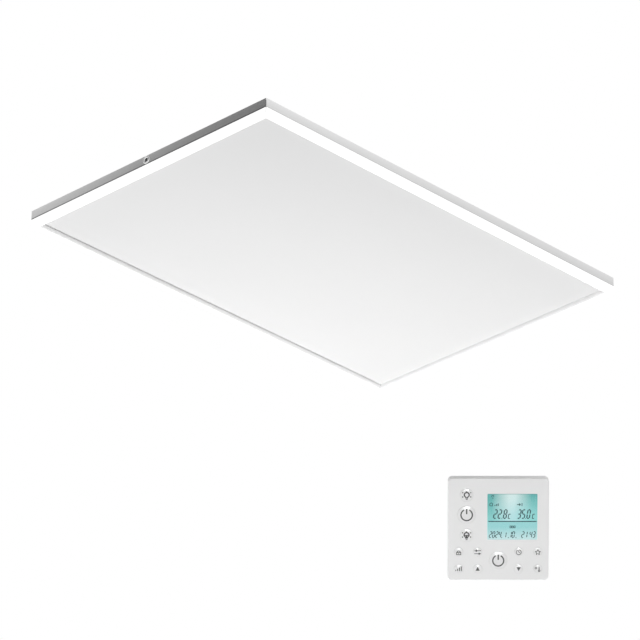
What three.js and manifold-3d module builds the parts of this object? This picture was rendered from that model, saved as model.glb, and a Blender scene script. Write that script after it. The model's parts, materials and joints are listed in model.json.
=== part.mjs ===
// Infrared ceiling heating panel with a lit edge frame, and its separate key controller.
// Millimetres, +Z up. The origin is the middle of the ceiling plane that the two mounting rails bear on,
// so the panel hangs below z = 0 with its warm face down. X runs along the long side, Y along the short one.
import * as THREE from "three";
import { mergeVertices } from "three/addons/utils/BufferGeometryUtils.js";
import Module from "manifold-3d";

const wasm = await Module();
wasm.setup();

// ---- driving dimensions of the panel ----
const LENGTH = 622; // long side, over the frame
const WIDTH = 400; // short side, over the frame
const SIDE_HEIGHT = 12; // aluminium side wall
const LIGHT_DROP = 9.9; // light bar below the side wall
const LIGHT_WIDTH = 7.4; // light bar, seen from below
const RECESS = 6.9; // warm face above the light bar's lower side

const WEB = 1.4; // outer wall of the frame profile
const SKIN = 1.2; // its rib, and the step under the rear cover's edge
const RIM = 2.6; // upper rim that frames the rear cover
const FLANGE = 1.4;
const FLANGE_REACH = 16; // flange under the rear cover, inward from the outer face
const SHELF = 1.5;
const SHELF_REACH = 5.4; // shelf that the light strip hangs under
const CHANNEL = 4.2; // channel that takes the corner keys
const CHANNEL_DEPTH = 3.8;
const CHANNEL_TOE = 1; // lips that hold a corner key in
const TOE_SHEET = 0.96;
const KEY_ARM = 34; // arm of a corner key
const MITRE_GAP = 0.21; // each mitred end stands back by this much

const OPAL_WALL = 1.5;
const OPAL_ROUND = 1.4; // outer lower edge of the light bar
const BARB = 1; // hook of the light bar over the shelf
const STRIP_WIDTH = 3.4;
const STRIP_BOARD = 0.8;
const LED_SIZE = 2.2;
const LED_HEIGHT = 0.7;
const LED_PITCH = 30;
const STRIP_END = 14; // from the frame's outer corner to the strip's end

const TRAY_SHEET = 1; // warm face and its folded rim
const TRAY_LIP = 7.7; // rim's upper edge, turned inward
const TRAY_CORNER = 1.6;
const COVER_SHEET = 1;
const BEAD_WIDTH = 9; // stiffening beads pressed in the rear cover
const BEAD_HEIGHT = 1.4;
const BEAD_SETBACK = 80; // from the frame's long sides to a bead's ends
const BEAD_PITCH = 46;
const BEAD_COUNT = 5;
const FILM = 0.5;
const FILM_MARGIN = 2; // film and foil, inside the tray's rim
const BUS_WIDTH = 8;
const BUS_HEIGHT = 0.3;
const FOIL = 0.3;
const BOARD_MARGIN = 4; // insulation board, inside the tray's rim

const RAIL_HEIGHT = 16.5; // ceiling rail, a top-hat section
const RAIL_INSET = 131; // from the frame's short sides to a ceiling rail's middle
const RAIL_SETBACK = 50; // from the frame's long sides to its ends
const RAIL_CROWN = 24;
const RAIL_FOOT = 14;
const RAIL_SHEET = 1.5;
const SCREW_INSET = 25; // from a ceiling rail's end to its screw
const SCREW_HOLE = 5; // slot, and the radius of the round entry beside it

const BAY_LENGTH = 92; // electronics bay, inside the tray's rim at the cable end
const BAY_SHEET = 1;
const BAY_FLOOR = 1;
const BAY_GAP = 12; // between the modules and the bay's wall
const BUSH_RING = 10.4; // ring of the cable bush that shows on the side wall
const BUSH_BORE = 6.4;
const BUSH_THREAD = 7.6;
const BUSH_PROUD = 1.1;
const BUSH_EDGE = 0.6; // softened edges of its ring
const BUSH_DROP = 5.9; // bush axis below the panel's rear plane
const NUT_ACROSS = 9;
const NUT_THICKNESS = 2.4;
const NUT_NOTCH = 1.6;
const NUT_ROOM = 2; // cleared round the nut
const LEAD = 2.4; // heater leads, over the sleeve
const LEAD_SPREAD = 26; // between the two heater leads
const LEAD_ROOM = 1; // under a lead, and round it in the bay's wall

const TERMINAL_POLES = 3;
const TERMINAL_PITCH = 10;
const TERMINAL_DEPTH = 20;
const TERMINAL_HEIGHT = 9.2;
const TERMINAL_FROM_END = 19; // from the bay's start to the terminal block's middle
const TERMINAL_SCREW = 2.4; // screw well's radius
const TERMINAL_MOUTH = 6;
const TERMINAL_MOUTH_DROP = 4.5;
const MODULE_WIDTH = 46;
const MODULE_LENGTH = 76;
const MODULE_HEIGHT = 8.6;
const MODULE_CORNER = 1.5;
const MODULE_EAR = 7; // fixing ear past each end, and its width
const MODULE_EAR_SHEET = 1.5;
const DRIVER_WIDTH = 32;
const DRIVER_GAP = 24; // between the receiver and the light driver
const STUD = 4; // earth stud's thread
const STUD_HEIGHT = 9;
const STUD_FROM_END = 12;
const STUD_ASIDE = 60;
const CUTOUT_FLANGE = 16;
const CUTOUT_CAP = 13.2;
const CUTOUT_HEIGHT = 7;
const CUTOUT_TAB_RISE = 4.9; // up to its two tabs
const CUTOUT_TAB = 6;
const CUTOUT_ASIDE = 60; // first thermal cut-out, off the middle
const CUTOUT_PITCH = 30;

// ---- driving dimensions of the controller: x to the right, y up, z out of its face ----
const CONTROL_WIDTH = 120;
const CONTROL_HEIGHT = 123;
const CONTROL_DEPTH = 17.5;
const CONTROL_CORNER = 5;
const CONTROL_EDGE = 0.8; // softened front edge
const FRONT_DEPTH = 11; // front shell
const FRONT_WALL = 1.8;
const REAR_WALL = 2.4;
const CONTROL_ASIDE = 104.7; // middle of its face, from the panel's middle towards +X
const CONTROL_AHEAD = 183.1; // and towards -Y
const CONTROL_DROP = 428.6; // and below the panel's rear plane
const CONTROL_TURN = -46.25; // degrees about the vertical
const CONTROL_LEAN = 126.1; // degrees from lying face up

const WINDOW_WIDTH = 59.5;
const WINDOW_HEIGHT = 55.6;
const WINDOW_AT = [16.6, 15];
const WINDOW_PANE = 1.2;
const WINDOW_CORNER = 0.8;
const DISPLAY_DEPTH = 3.4;
const DISPLAY_MARGIN = 2; // display module past the window, each side
const DISPLAY_FOOT = 6; // bar behind it that stands near the circuit board
const BOARD_DEPTH = 7.6; // controller's circuit board, below the face
const BOARD = 1.6;
const BOARD_SIDE = 5; // board's edge from the shell's outside

const KEY_RADIUS = 5.4;
const LIGHT_KEY_RADIUS = 8;
const POWER_RADIUS = 11;
const KEY_EDGE = 0.1; // rim of a key above the face
const KEY_RISE = 0.06; // its dome above the rim, as a share of its radius
const KEY_CURVE = 3; // power of the dome's fall: flat in the middle, steeper to the rim
const KEY_RIM = 1; // flange under the face that keeps a key in
const KEY_FLANGE = 1;
const KEY_TRAVEL = 0.5;
const KEY_SLACK = 0.3; // switch below a fully pressed key
const SWITCH = 6;
const SIDE_KEYS = -37.8; // column left of the window
const OUTER_KEYS = 47.1;
const INNER_KEYS = 24.4;
const LIGHT_ON_ROW = 41.2;
const MODE_ROW = 17.4;
const LIGHT_OFF_ROW = -7.3;
const UPPER_ROW = -27.3;
const LOWER_ROW = -47.9;
const POWER_ROW = -37.8;

const CELL_RADIUS = 12.25; // flat round cells
const CELL = 5;
const CELL_POLE = 10.6;
const CELL_STEP = 0.4; // pole above the can
const CELL_PITCH = 28;
const HOLDER_WIDTH = 58;
const HOLDER_HEIGHT = 29;
const HOLDER_CORNER = 3;
const HOLDER_AT = -8; // middle of the cell holder, above the controller's middle
const DOOR_WIDTH = 64;
const DOOR_TOP = 10; // upper edge of the battery door
const TONGUE = 1.6; // door's side tongues
const TONGUE_THICKNESS = 0.6;
const GRIP_COUNT = 4; // grip grooves near the door's lower end
const GRIP_PITCH = 3;
const GRIP_WIDTH = 24;
const GRIP_FROM_END = 8;
const GRIP_HEIGHT = 1.4;
const GRIP_DEPTH = 0.7;
const BOSS = 2.2;
const BOSS_INSET = 5;

// ---- clearances ----
const GAP = 0.3; // between pieces that only lie close together
const BORE_GAP = 0.4; // round a thread or sleeve
const RUN = 0.35; // round a moving key or door

// ---- how shapes are made ----
const SIDES_ROUND = 24; // facets of a large round
const SIDES_SMALL = 16;
const SIDES_HEX = 6;
const CORNER_STEPS = 4;
const CORNER_STEPS_SMALL = 3;
const PAST = 1; // how far a cutting shape runs past what it cuts
const JOIN = 0.5; // overlap of two shapes that become one solid
const SHIM = 0.1; // cover sheet below the rim, so that the rails' feet clear the rim

// ---- places that follow ----
const REAR_PLANE = SHIM - RAIL_HEIGHT; // upper rim of the frame
const COVER_SEAT = COVER_SHEET + SHIM;
const RAIL_AT = LENGTH / 2 - RAIL_INSET;
const RAIL_LENGTH = WIDTH - 2 * RAIL_SETBACK;
const BEAD_LENGTH = WIDTH - 2 * BEAD_SETBACK;
const SCREW_AT = RAIL_LENGTH / 2 - SCREW_INSET;
const POCKET = NUT_ACROSS / 2 + NUT_ROOM;
const FLANGE_UNDER = COVER_SEAT + FLANGE;
const LIGHT_UNDER = SIDE_HEIGHT + LIGHT_DROP;
const FACE_UNDER = LIGHT_UNDER - RECESS;
const FACE_TOP = FACE_UNDER - TRAY_SHEET;
const TRAY_OUT = LIGHT_WIDTH + GAP;
const TRAY_IN = TRAY_OUT + TRAY_SHEET;
const LIP_UNDER = FLANGE_UNDER + TRAY_SHEET;
const FILM_TOP = FACE_TOP - FILM;
const FOIL_TOP = FILM_TOP - BUS_HEIGHT - FOIL;
const BAY_END = -LENGTH / 2 + TRAY_IN + BAY_LENGTH;
const FLOOR_TOP = FACE_TOP - BAY_FLOOR;
const INNER_LENGTH = LENGTH - 2 * TRAY_IN;
const INNER_WIDTH = WIDTH - 2 * TRAY_IN;
const BAY_START = -INNER_LENGTH / 2 + GAP;
const MODULE_AT = BAY_END - MODULE_WIDTH / 2 - BAY_GAP;
const SWITCH_TOP = FRONT_WALL + GAP + KEY_FLANGE + GAP + KEY_TRAVEL + KEY_SLACK;

// ---- shapes ----
const place = (x = 0, y = 0, z = 0) => new THREE.Matrix4().makeTranslation(x, y, z);
const tilt = (axis, degrees) =>
  new THREE.Matrix4().makeRotationAxis(axis, THREE.MathUtils.degToRad(degrees));
const X = new THREE.Vector3(1, 0, 0);
const Z = new THREE.Vector3(0, 0, 1);

function solid(geometry, matrix = new THREE.Matrix4()) {
  const g = geometry.clone().applyMatrix4(matrix);
  g.deleteAttribute("normal");
  g.deleteAttribute("uv");
  const merged = mergeVertices(g, 1e-4);
  return new wasm.Manifold(
    new wasm.Mesh({
      numProp: 3,
      vertProperties: new Float32Array(merged.attributes.position.array),
      triVerts: new Uint32Array(merged.index.array),
    }),
  );
}

function geometryOf(manifold) {
  const mesh = manifold.getMesh();
  const g = new THREE.BufferGeometry();
  g.setAttribute("position", new THREE.BufferAttribute(new Float32Array(mesh.vertProperties), 3));
  g.setIndex(new THREE.BufferAttribute(new Uint32Array(mesh.triVerts), 1));
  const flat = g.toNonIndexed();
  flat.computeVertexNormals();
  return flat;
}

// A block between two corners.
function block(low, high) {
  const size = high.map((h, i) => h - low[i]);
  return solid(
    new THREE.BoxGeometry(...size),
    place(...high.map((h, i) => (h + low[i]) / 2)),
  );
}

// A block centred on x and y, between two heights.
const slab = (width, depth, low, high, x = 0, y = 0) =>
  block([x - width / 2, y - depth / 2, low], [x + width / 2, y + depth / 2, high]);

// A round bar along Z.
const rod = (radius, low, high, x = 0, y = 0, sides = SIDES_ROUND) =>
  solid(
    new THREE.CylinderGeometry(radius, radius, high - low, sides),
    place(x, y, (low + high) / 2).multiply(tilt(X, 90)),
  );

// The same along X.
const rodX = (radius, from, to, y, z) =>
  solid(
    new THREE.CylinderGeometry(radius, radius, to - from, SIDES_ROUND),
    place((from + to) / 2, y, z).multiply(tilt(Z, 90)),
  );

function roundedShape(width, height, radius) {
  const [w, h] = [width / 2, height / 2];
  const shape = new THREE.Shape();
  shape.moveTo(-w + radius, -h);
  shape.lineTo(w - radius, -h);
  shape.absarc(w - radius, -h + radius, radius, -Math.PI / 2, 0);
  shape.lineTo(w, h - radius);
  shape.absarc(w - radius, h - radius, radius, 0, Math.PI / 2);
  shape.lineTo(-w + radius, h);
  shape.absarc(-w + radius, h - radius, radius, Math.PI / 2, Math.PI);
  shape.lineTo(-w, -h + radius);
  shape.absarc(-w + radius, -h + radius, radius, Math.PI, Math.PI * 1.5);
  return shape;
}

// A plate with round corners between two heights.
const plate = (width, height, radius, low, high, x = 0, y = 0) =>
  solid(
    new THREE.ExtrudeGeometry(roundedShape(width, height, radius), {
      depth: high - low,
      bevelEnabled: false,
      curveSegments: radius < CONTROL_CORNER ? CORNER_STEPS_SMALL : CORNER_STEPS,
    }),
    place(x, y, low),
  );

const outline = (points) => new THREE.Shape(points.map(([a, b]) => new THREE.Vector2(a, b)));

// A frame length: its profile lies in (inward, upward) and its ends are mitred at 45 degrees.
function mitred(shape, half) {
  const g = new THREE.ExtrudeGeometry(shape, { depth: 1, bevelEnabled: false, curveSegments: 6 });
  const p = g.attributes.position;
  for (let i = 0; i < p.count; i++) {
    const [inward, up, end] = [p.getX(i), p.getY(i), p.getZ(i)];
    const reach = half - inward - MITRE_GAP;
    p.setXYZ(i, end > 0 ? reach : -reach, inward, up);
  }
  return solid(g);
}

// Four sides, anticlockwise from the one at -Y: name, turn, half length, half width across.
const SIDES = [
  ["front", 0, LENGTH / 2, WIDTH / 2],
  ["right", 90, WIDTH / 2, LENGTH / 2],
  ["rear", 180, LENGTH / 2, WIDTH / 2],
  ["left", -90, WIDTH / 2, LENGTH / 2],
];
const onSide = (turn, across) => tilt(Z, turn).multiply(place(0, -across, 0));

// ---- panel pieces, heights measured down from the panel's rear plane ----
function railShape() {
  const rib = WEB + CHANNEL;
  const channelUnder = FLANGE_UNDER + CHANNEL_DEPTH;
  const toe = channelUnder + TOE_SHEET;
  return outline([
    [0, 0],
    [0, -SIDE_HEIGHT],
    [SHELF_REACH, -SIDE_HEIGHT],
    [SHELF_REACH, -SIDE_HEIGHT + SHELF],
    [WEB, -SIDE_HEIGHT + SHELF],
    [WEB, -toe],
    [WEB + CHANNEL_TOE, -toe],
    [WEB + CHANNEL_TOE, -channelUnder],
    [WEB, -channelUnder],
    [WEB, -FLANGE_UNDER],
    [rib, -FLANGE_UNDER],
    [rib, -channelUnder],
    [rib - CHANNEL_TOE, -channelUnder],
    [rib - CHANNEL_TOE, -toe],
    [rib + SKIN, -toe],
    [rib + SKIN, -FLANGE_UNDER],
    [FLANGE_REACH, -FLANGE_UNDER],
    [FLANGE_REACH, -COVER_SEAT],
    [RIM, -COVER_SEAT],
    [RIM, 0],
  ]);
}

function opalShape() {
  const inner = LIGHT_WIDTH - OPAL_WALL;
  const hookUnder = SIDE_HEIGHT - SHELF - GAP;
  const top = hookUnder - BARB;
  const shape = new THREE.Shape();
  shape.moveTo(0, -SIDE_HEIGHT);
  shape.lineTo(0, -LIGHT_UNDER + OPAL_ROUND);
  shape.absarc(OPAL_ROUND, -LIGHT_UNDER + OPAL_ROUND, OPAL_ROUND, Math.PI, Math.PI * 1.5);
  shape.lineTo(LIGHT_WIDTH - OPAL_ROUND / 2, -LIGHT_UNDER);
  shape.absarc(
    LIGHT_WIDTH - OPAL_ROUND / 2, -LIGHT_UNDER + OPAL_ROUND / 2, OPAL_ROUND / 2, -Math.PI / 2, 0,
  );
  shape.lineTo(LIGHT_WIDTH, -top);
  shape.lineTo(inner, -top);
  shape.lineTo(SHELF_REACH - BARB, -hookUnder);
  shape.lineTo(inner, -hookUnder);
  shape.lineTo(inner, -LIGHT_UNDER + OPAL_WALL);
  shape.lineTo(OPAL_WALL, -LIGHT_UNDER + OPAL_WALL);
  shape.lineTo(OPAL_WALL, -SIDE_HEIGHT);
  return shape;
}

const bushHeight = -BUSH_DROP;
const bushFace = -LENGTH / 2;

// The side with the cable bush loses its rib and flange round the nut.
function rail([name, turn, half, across]) {
  const bar = mitred(railShape(), half);
  const turned = bar.transform(onSide(turn, across).elements);
  if (name !== "left") return turned;
  const bore = BUSH_THREAD / 2 + BORE_GAP;
  return turned
    .subtract(rodX(bore, bushFace - PAST, bushFace + WEB + PAST, 0, bushHeight))
    .subtract(
      block(
        [bushFace + WEB, -POCKET, -SIDE_HEIGHT + SHELF],
        [bushFace + FLANGE_REACH + PAST, POCKET, -COVER_SEAT + PAST],
      ),
    );
}

const lightBar = ([, turn, half, across]) =>
  mitred(opalShape(), half).transform(onSide(turn, across).elements);

function lightStrip([, turn, half, across]) {
  const middle = LIGHT_WIDTH / 2;
  const reach = half - STRIP_END;
  const top = -SIDE_HEIGHT;
  let strip = slab(2 * reach, STRIP_WIDTH, top - STRIP_BOARD, top, 0, middle);
  const count = Math.floor((2 * reach - LED_PITCH / 2) / LED_PITCH);
  for (let i = 0; i < count; i++) {
    const x = (i - (count - 1) / 2) * LED_PITCH;
    const low = top - STRIP_BOARD - LED_HEIGHT;
    strip = strip.add(slab(LED_SIZE, LED_SIZE, low, top - STRIP_BOARD / 2, x, middle));
  }
  return strip.transform(onSide(turn, across).elements);
}

// An L of flat bar that fills the channels of two rails at a corner.
function cornerKey(sx, sy) {
  const inset = WEB + GAP / 2;
  const wide = CHANNEL - GAP;
  const high = -FLANGE_UNDER;
  const low = high - CHANNEL_DEPTH + GAP;
  const [cx, cy] = [sx * (LENGTH / 2 - inset), sy * (WIDTH / 2 - inset)];
  const armX = block(
    [Math.min(cx, cx - sx * KEY_ARM), Math.min(cy, cy - sy * wide), low],
    [Math.max(cx, cx - sx * KEY_ARM), Math.max(cy, cy - sy * wide), high],
  );
  const armY = block(
    [Math.min(cx, cx - sx * wide), Math.min(cy, cy - sy * KEY_ARM), low],
    [Math.max(cx, cx - sx * wide), Math.max(cy, cy - sy * KEY_ARM), high],
  );
  return armX.add(armY);
}

// A folded sheet pan: the warm face, a rim, and the rim's edge turned inward under the frame's flange.
function faceTray() {
  const size = (inset) => [LENGTH - 2 * inset, WIDTH - 2 * inset];
  const pan = plate(...size(TRAY_OUT), TRAY_CORNER, -FACE_UNDER, -FLANGE_UNDER);
  const inside = plate(...size(TRAY_IN), TRAY_CORNER - TRAY_SHEET, -FACE_TOP, -LIP_UNDER);
  const mouth = plate(...size(TRAY_IN + TRAY_LIP), TRAY_CORNER, -LIP_UNDER - GAP, 0);
  const notch = block(
    [bushFace, -POCKET, bushHeight - POCKET],
    [bushFace + TRAY_IN + TRAY_LIP + PAST, POCKET, 0],
  );
  return pan.subtract(inside).subtract(mouth).subtract(notch);
}

// From the bay's wall to the far rim.
function overHeatedFace(inset, low, high) {
  const [x, y] = [INNER_LENGTH / 2 - inset, INNER_WIDTH / 2 - inset];
  return block([BAY_END + BAY_SHEET + inset, -y, low], [x, y, high]);
}

function heatingFilm() {
  const film = overHeatedFace(FILM_MARGIN, -FACE_TOP, -FILM_TOP);
  const from = BAY_END + BAY_SHEET + FILM_MARGIN;
  const to = INNER_LENGTH / 2 - FILM_MARGIN;
  const busAt = INNER_WIDTH / 2 - FILM_MARGIN - BUS_WIDTH;
  const bus = (y) =>
    block(
      [from, y - BUS_WIDTH / 2, -FILM_TOP - FILM / 2],
      [to, y + BUS_WIDTH / 2, -FILM_TOP + BUS_HEIGHT],
    );
  return film.add(bus(busAt)).add(bus(-busAt));
}

const reflectorFoil = () => overHeatedFace(FILM_MARGIN, -FILM_TOP + BUS_HEIGHT, -FOIL_TOP);

// A mineral board, thinner under the tray's lip.
function insulationBoard() {
  const step = -LIP_UNDER - GAP;
  const low = overHeatedFace(BOARD_MARGIN, -FOIL_TOP, step);
  const high = overHeatedFace(TRAY_LIP + BOARD_MARGIN, step - JOIN, -COVER_SEAT - GAP);
  return low.add(high);
}

// A bar with half-round ends, one step of a pressed bead.
const bead = (width, length, low, high, x) =>
  plate(width, length, width / 2.01, low, high, x, 0);

// Rear cover: a sheet laid in the frame's rim, with pressed beads between the ceiling rails.
function rearCover() {
  const inset = RIM + GAP;
  const top = -COVER_SEAT + COVER_SHEET;
  let sheet = plate(LENGTH - 2 * inset, WIDTH - 2 * inset, COVER_SHEET, -COVER_SEAT, top);
  for (let i = 0; i < BEAD_COUNT; i++) {
    const x = (i - (BEAD_COUNT - 1) / 2) * BEAD_PITCH;
    const inner = BEAD_WIDTH - 2 * COVER_SHEET;
    sheet = sheet
      .add(bead(BEAD_WIDTH, BEAD_LENGTH, top - COVER_SHEET / 2, top + BEAD_HEIGHT, x))
      .subtract(
        bead(inner, BEAD_LENGTH - 2 * COVER_SHEET, -COVER_SEAT - PAST, -COVER_SEAT + BEAD_HEIGHT, x),
      );
  }
  return sheet;
}

// A top-hat rail along Y, with two keyhole slots in its crown.
function ceilingRail(x) {
  const foot = -COVER_SEAT + COVER_SHEET;
  const crown = foot + RAIL_HEIGHT;
  const half = RAIL_CROWN / 2;
  const out = half + RAIL_FOOT;
  const t = RAIL_SHEET;
  const shape = outline([
    [-out, foot],
    [-half + t, foot],
    [-half + t, crown - t],
    [half - t, crown - t],
    [half - t, foot],
    [out, foot],
    [out, foot + t],
    [half, foot + t],
    [half, crown],
    [-half, crown],
    [-half, foot + t],
    [-out, foot + t],
  ]);
  let hat = solid(
    new THREE.ExtrudeGeometry(shape, { depth: RAIL_LENGTH, bevelEnabled: false }),
    place(x, RAIL_LENGTH / 2, 0).multiply(tilt(X, 90)),
  );
  const [low, high, slot] = [crown - 2 * t, crown + PAST, 3 * SCREW_HOLE];
  for (const y of [-SCREW_AT, SCREW_AT]) {
    hat = hat
      .subtract(rod(SCREW_HOLE, low, high, x, y, SIDES_SMALL))
      .subtract(slab(SCREW_HOLE, slot, low, high, x, y + slot / 2));
  }
  return hat;
}

function cableBush() {
  const [bore, thread, ring] = [BUSH_BORE / 2, BUSH_THREAD / 2, BUSH_RING / 2];
  const length = WEB + NUT_THICKNESS + BUSH_EDGE;
  const profile = [
    [bore, length],
    [bore, BUSH_EDGE - BUSH_PROUD],
    [bore + BUSH_EDGE, -BUSH_PROUD],
    [ring - BUSH_EDGE, -BUSH_PROUD],
    [ring, BUSH_EDGE - BUSH_PROUD],
    [ring, 0],
    [thread, 0],
    [thread, length],
    [bore, length],
  ].map(([r, along]) => new THREE.Vector2(r, along));
  const lathe = new THREE.LatheGeometry(profile, SIDES_ROUND);
  return solid(lathe, place(bushFace, 0, bushHeight).multiply(tilt(Z, -90)));
}

// A ring nut with two spanner notches.
function bushNut() {
  const from = bushFace + WEB;
  const to = from + NUT_THICKNESS;
  const half = NUT_ACROSS / 2;
  const deep = (NUT_ACROSS - BUSH_THREAD) / 6;
  const notch = (low, high) =>
    block(
      [from + NUT_THICKNESS / 2, low, bushHeight - NUT_NOTCH / 2],
      [to + PAST, high, bushHeight + NUT_NOTCH / 2],
    );
  return rodX(half, from, to, 0, bushHeight)
    .subtract(rodX(BUSH_THREAD / 2 + GAP, from - PAST, to + PAST, 0, bushHeight))
    .subtract(notch(-half - PAST, -half + deep))
    .subtract(notch(half - deep, half + PAST));
}

// A Z of sheet across the tray that closes the bay off from the insulation, notched for the leads.
function bayWall() {
  const y = INNER_WIDTH / 2 - GAP;
  const top = -LIP_UNDER - GAP;
  const leadFrom = -FILM_TOP + BUS_HEIGHT;
  const room = LEAD + 2 * LEAD_ROOM;
  const wall = block([BAY_END, -y, -FACE_TOP], [BAY_END + BAY_SHEET, y, top]);
  const hem = block(
    [BAY_END - TRAY_LIP, -y, top - BAY_SHEET],
    [BAY_END + BAY_SHEET, y, top],
  );
  const notch = (at) => slab(4 * BAY_SHEET, room, leadFrom, leadFrom + room, BAY_END, at);
  return wall
    .add(hem)
    .subtract(notch(LEAD_SPREAD / 2))
    .subtract(notch(-LEAD_SPREAD / 2));
}

const studAt = [BAY_START + STUD_FROM_END, STUD_ASIDE];

const bayFloor = () =>
  block(
    [BAY_START, -INNER_WIDTH / 2 + GAP, -FACE_TOP],
    [BAY_END - GAP, INNER_WIDTH / 2 - GAP, -FLOOR_TOP],
  ).subtract(rod(1.4 * STUD, -FACE_TOP - PAST, -FLOOR_TOP + PAST, ...studAt));

// Clamps side by side, with screw wells above and wire mouths to the cable's side.
function terminalBlock() {
  const x = BAY_START + TERMINAL_FROM_END;
  const top = -FLOOR_TOP + TERMINAL_HEIGHT;
  const [mouthTop, mouthLow] = [top - TERMINAL_SCREW, top - TERMINAL_SCREW - TERMINAL_MOUTH_DROP];
  const front = x - TERMINAL_DEPTH / 2;
  let body = slab(TERMINAL_DEPTH, TERMINAL_POLES * TERMINAL_PITCH, -FLOOR_TOP, top, x, 0);
  for (let i = 0; i < TERMINAL_POLES; i++) {
    const y = (i - (TERMINAL_POLES - 1) / 2) * TERMINAL_PITCH;
    const half = TERMINAL_MOUTH / 2;
    body = body
      .subtract(
        rod(TERMINAL_SCREW, top - TERMINAL_HEIGHT / 2, top + PAST, x + TERMINAL_DEPTH / 5, y, SIDES_SMALL),
      )
      .subtract(block([front - PAST, y - half, mouthLow], [front + half, y + half, mouthTop]));
  }
  return body;
}

// A low case with a fixing ear past each end.
function module(width, y) {
  const low = -FLOOR_TOP;
  const ear = MODULE_LENGTH + 2 * MODULE_EAR;
  return plate(width, MODULE_LENGTH, MODULE_CORNER, low, low + MODULE_HEIGHT, MODULE_AT, y)
    .add(plate(MODULE_EAR, ear, MODULE_EAR / 3, low, low + MODULE_EAR_SHEET, MODULE_AT, y));
}
const receiverModule = () => module(MODULE_WIDTH, 0);
const lightDriver = () => module(DRIVER_WIDTH, -MODULE_LENGTH - DRIVER_GAP);

const earthStud = () =>
  rod(STUD, -FACE_TOP, -FACE_TOP + STUD / 2, ...studAt, SIDES_HEX)
    .add(rod(STUD / 2, -FACE_TOP + STUD / 4, -FACE_TOP + STUD_HEIGHT, ...studAt, SIDES_SMALL));

// A disc thermostat: flange, cap and two tabs.
function thermalCutout(order) {
  const y = CUTOUT_ASIDE + order * CUTOUT_PITCH;
  const low = -FLOOR_TOP;
  const tabLow = low + CUTOUT_TAB_RISE;
  const reach = CUTOUT_FLANGE / 2 + CUTOUT_TAB;
  return rod(CUTOUT_FLANGE / 2, low, low + CUTOUT_HEIGHT / 2, MODULE_AT, y, SIDES_SMALL)
    .add(rod(CUTOUT_CAP / 2, low + JOIN, low + CUTOUT_HEIGHT, MODULE_AT, y, SIDES_SMALL))
    .add(slab(2 * reach, CUTOUT_TAB, tabLow, tabLow + COVER_SHEET, MODULE_AT, y));
}

// A straight sleeve from the receiver through the bay's wall to the film.
const heaterLead = (side) =>
  rodX(
    LEAD / 2,
    MODULE_AT + MODULE_WIDTH / 2 + GAP,
    BAY_END + BAY_SHEET + BOARD_MARGIN - GAP,
    (side * LEAD_SPREAD) / 2,
    -FILM_TOP + BUS_HEIGHT + LEAD_ROOM + LEAD / 2,
  );

// ---- controller pieces, heights measured from its face ----
const keySides = (radius) => (radius > KEY_RADIUS ? SIDES_ROUND : SIDES_SMALL);

function controlFront(keys) {
  const outer = solid(
    new THREE.ExtrudeGeometry(
      roundedShape(CONTROL_WIDTH - 2 * CONTROL_EDGE, CONTROL_HEIGHT - 2 * CONTROL_EDGE,
        CONTROL_CORNER - CONTROL_EDGE),
      {
        depth: FRONT_DEPTH - 2 * CONTROL_EDGE,
        bevelThickness: CONTROL_EDGE,
        bevelSize: CONTROL_EDGE,
        bevelSegments: 2,
        curveSegments: CORNER_STEPS,
      },
    ),
    place(0, 0, -FRONT_DEPTH + CONTROL_EDGE),
  );
  const skirt = plate(CONTROL_WIDTH, CONTROL_HEIGHT, CONTROL_CORNER, -FRONT_DEPTH, -FRONT_DEPTH / 2);
  const wall = 2 * FRONT_WALL;
  const inside = plate(CONTROL_WIDTH - wall, CONTROL_HEIGHT - wall, CONTROL_CORNER - FRONT_WALL,
    -FRONT_DEPTH - PAST, -FRONT_WALL);
  const window = plate(WINDOW_WIDTH, WINDOW_HEIGHT, WINDOW_CORNER + GAP, -FRONT_WALL - PAST, PAST,
    ...WINDOW_AT);
  let shell = outer.add(skirt).subtract(inside).subtract(window);
  for (const { x, y, radius } of keys) {
    shell = shell.subtract(rod(radius + RUN, -FRONT_WALL - PAST, PAST, x, y, keySides(radius)));
  }
  return shell.add(bosses(-BOARD_DEPTH + GAP, -FRONT_WALL / 2));
}

function bosses(low, high) {
  const [x, y] = [CONTROL_WIDTH / 2 - BOSS_INSET, CONTROL_HEIGHT / 2 - BOSS_INSET];
  return [[x, y], [-x, y], [x, -y], [-x, -y]]
    .map(([bx, by]) => rod(BOSS, low, high, bx, by, SIDES_SMALL))
    .reduce((all, boss) => all.add(boss));
}

const REAR_UNDER = -CONTROL_DEPTH + REAR_WALL;
const SLOT_LOW = -CONTROL_DEPTH + (REAR_WALL - TONGUE_THICKNESS) / 2 - GAP;
const SLOT_HIGH = SLOT_LOW + TONGUE_THICKNESS + 2 * GAP;

function controlRear() {
  const wall = 2 * FRONT_WALL;
  const top = -FRONT_DEPTH - GAP;
  const outer = plate(CONTROL_WIDTH, CONTROL_HEIGHT, CONTROL_CORNER, -CONTROL_DEPTH, top);
  const inside = plate(CONTROL_WIDTH - wall, CONTROL_HEIGHT - wall, CONTROL_CORNER - FRONT_WALL,
    REAR_UNDER, top + PAST);
  const foot = -CONTROL_HEIGHT / 2 - PAST;
  const doorway = block(
    [-DOOR_WIDTH / 2, foot, -CONTROL_DEPTH - PAST],
    [DOOR_WIDTH / 2, DOOR_TOP, REAR_UNDER + GAP],
  );
  const slots = block(
    [-DOOR_WIDTH / 2 - TONGUE - RUN, foot, SLOT_LOW],
    [DOOR_WIDTH / 2 + TONGUE + RUN, DOOR_TOP, SLOT_HIGH],
  );
  return outer
    .subtract(inside)
    .subtract(doorway)
    .subtract(slots)
    .add(bosses(REAR_UNDER - REAR_WALL / 2, -BOARD_DEPTH - BOARD - GAP));
}

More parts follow.
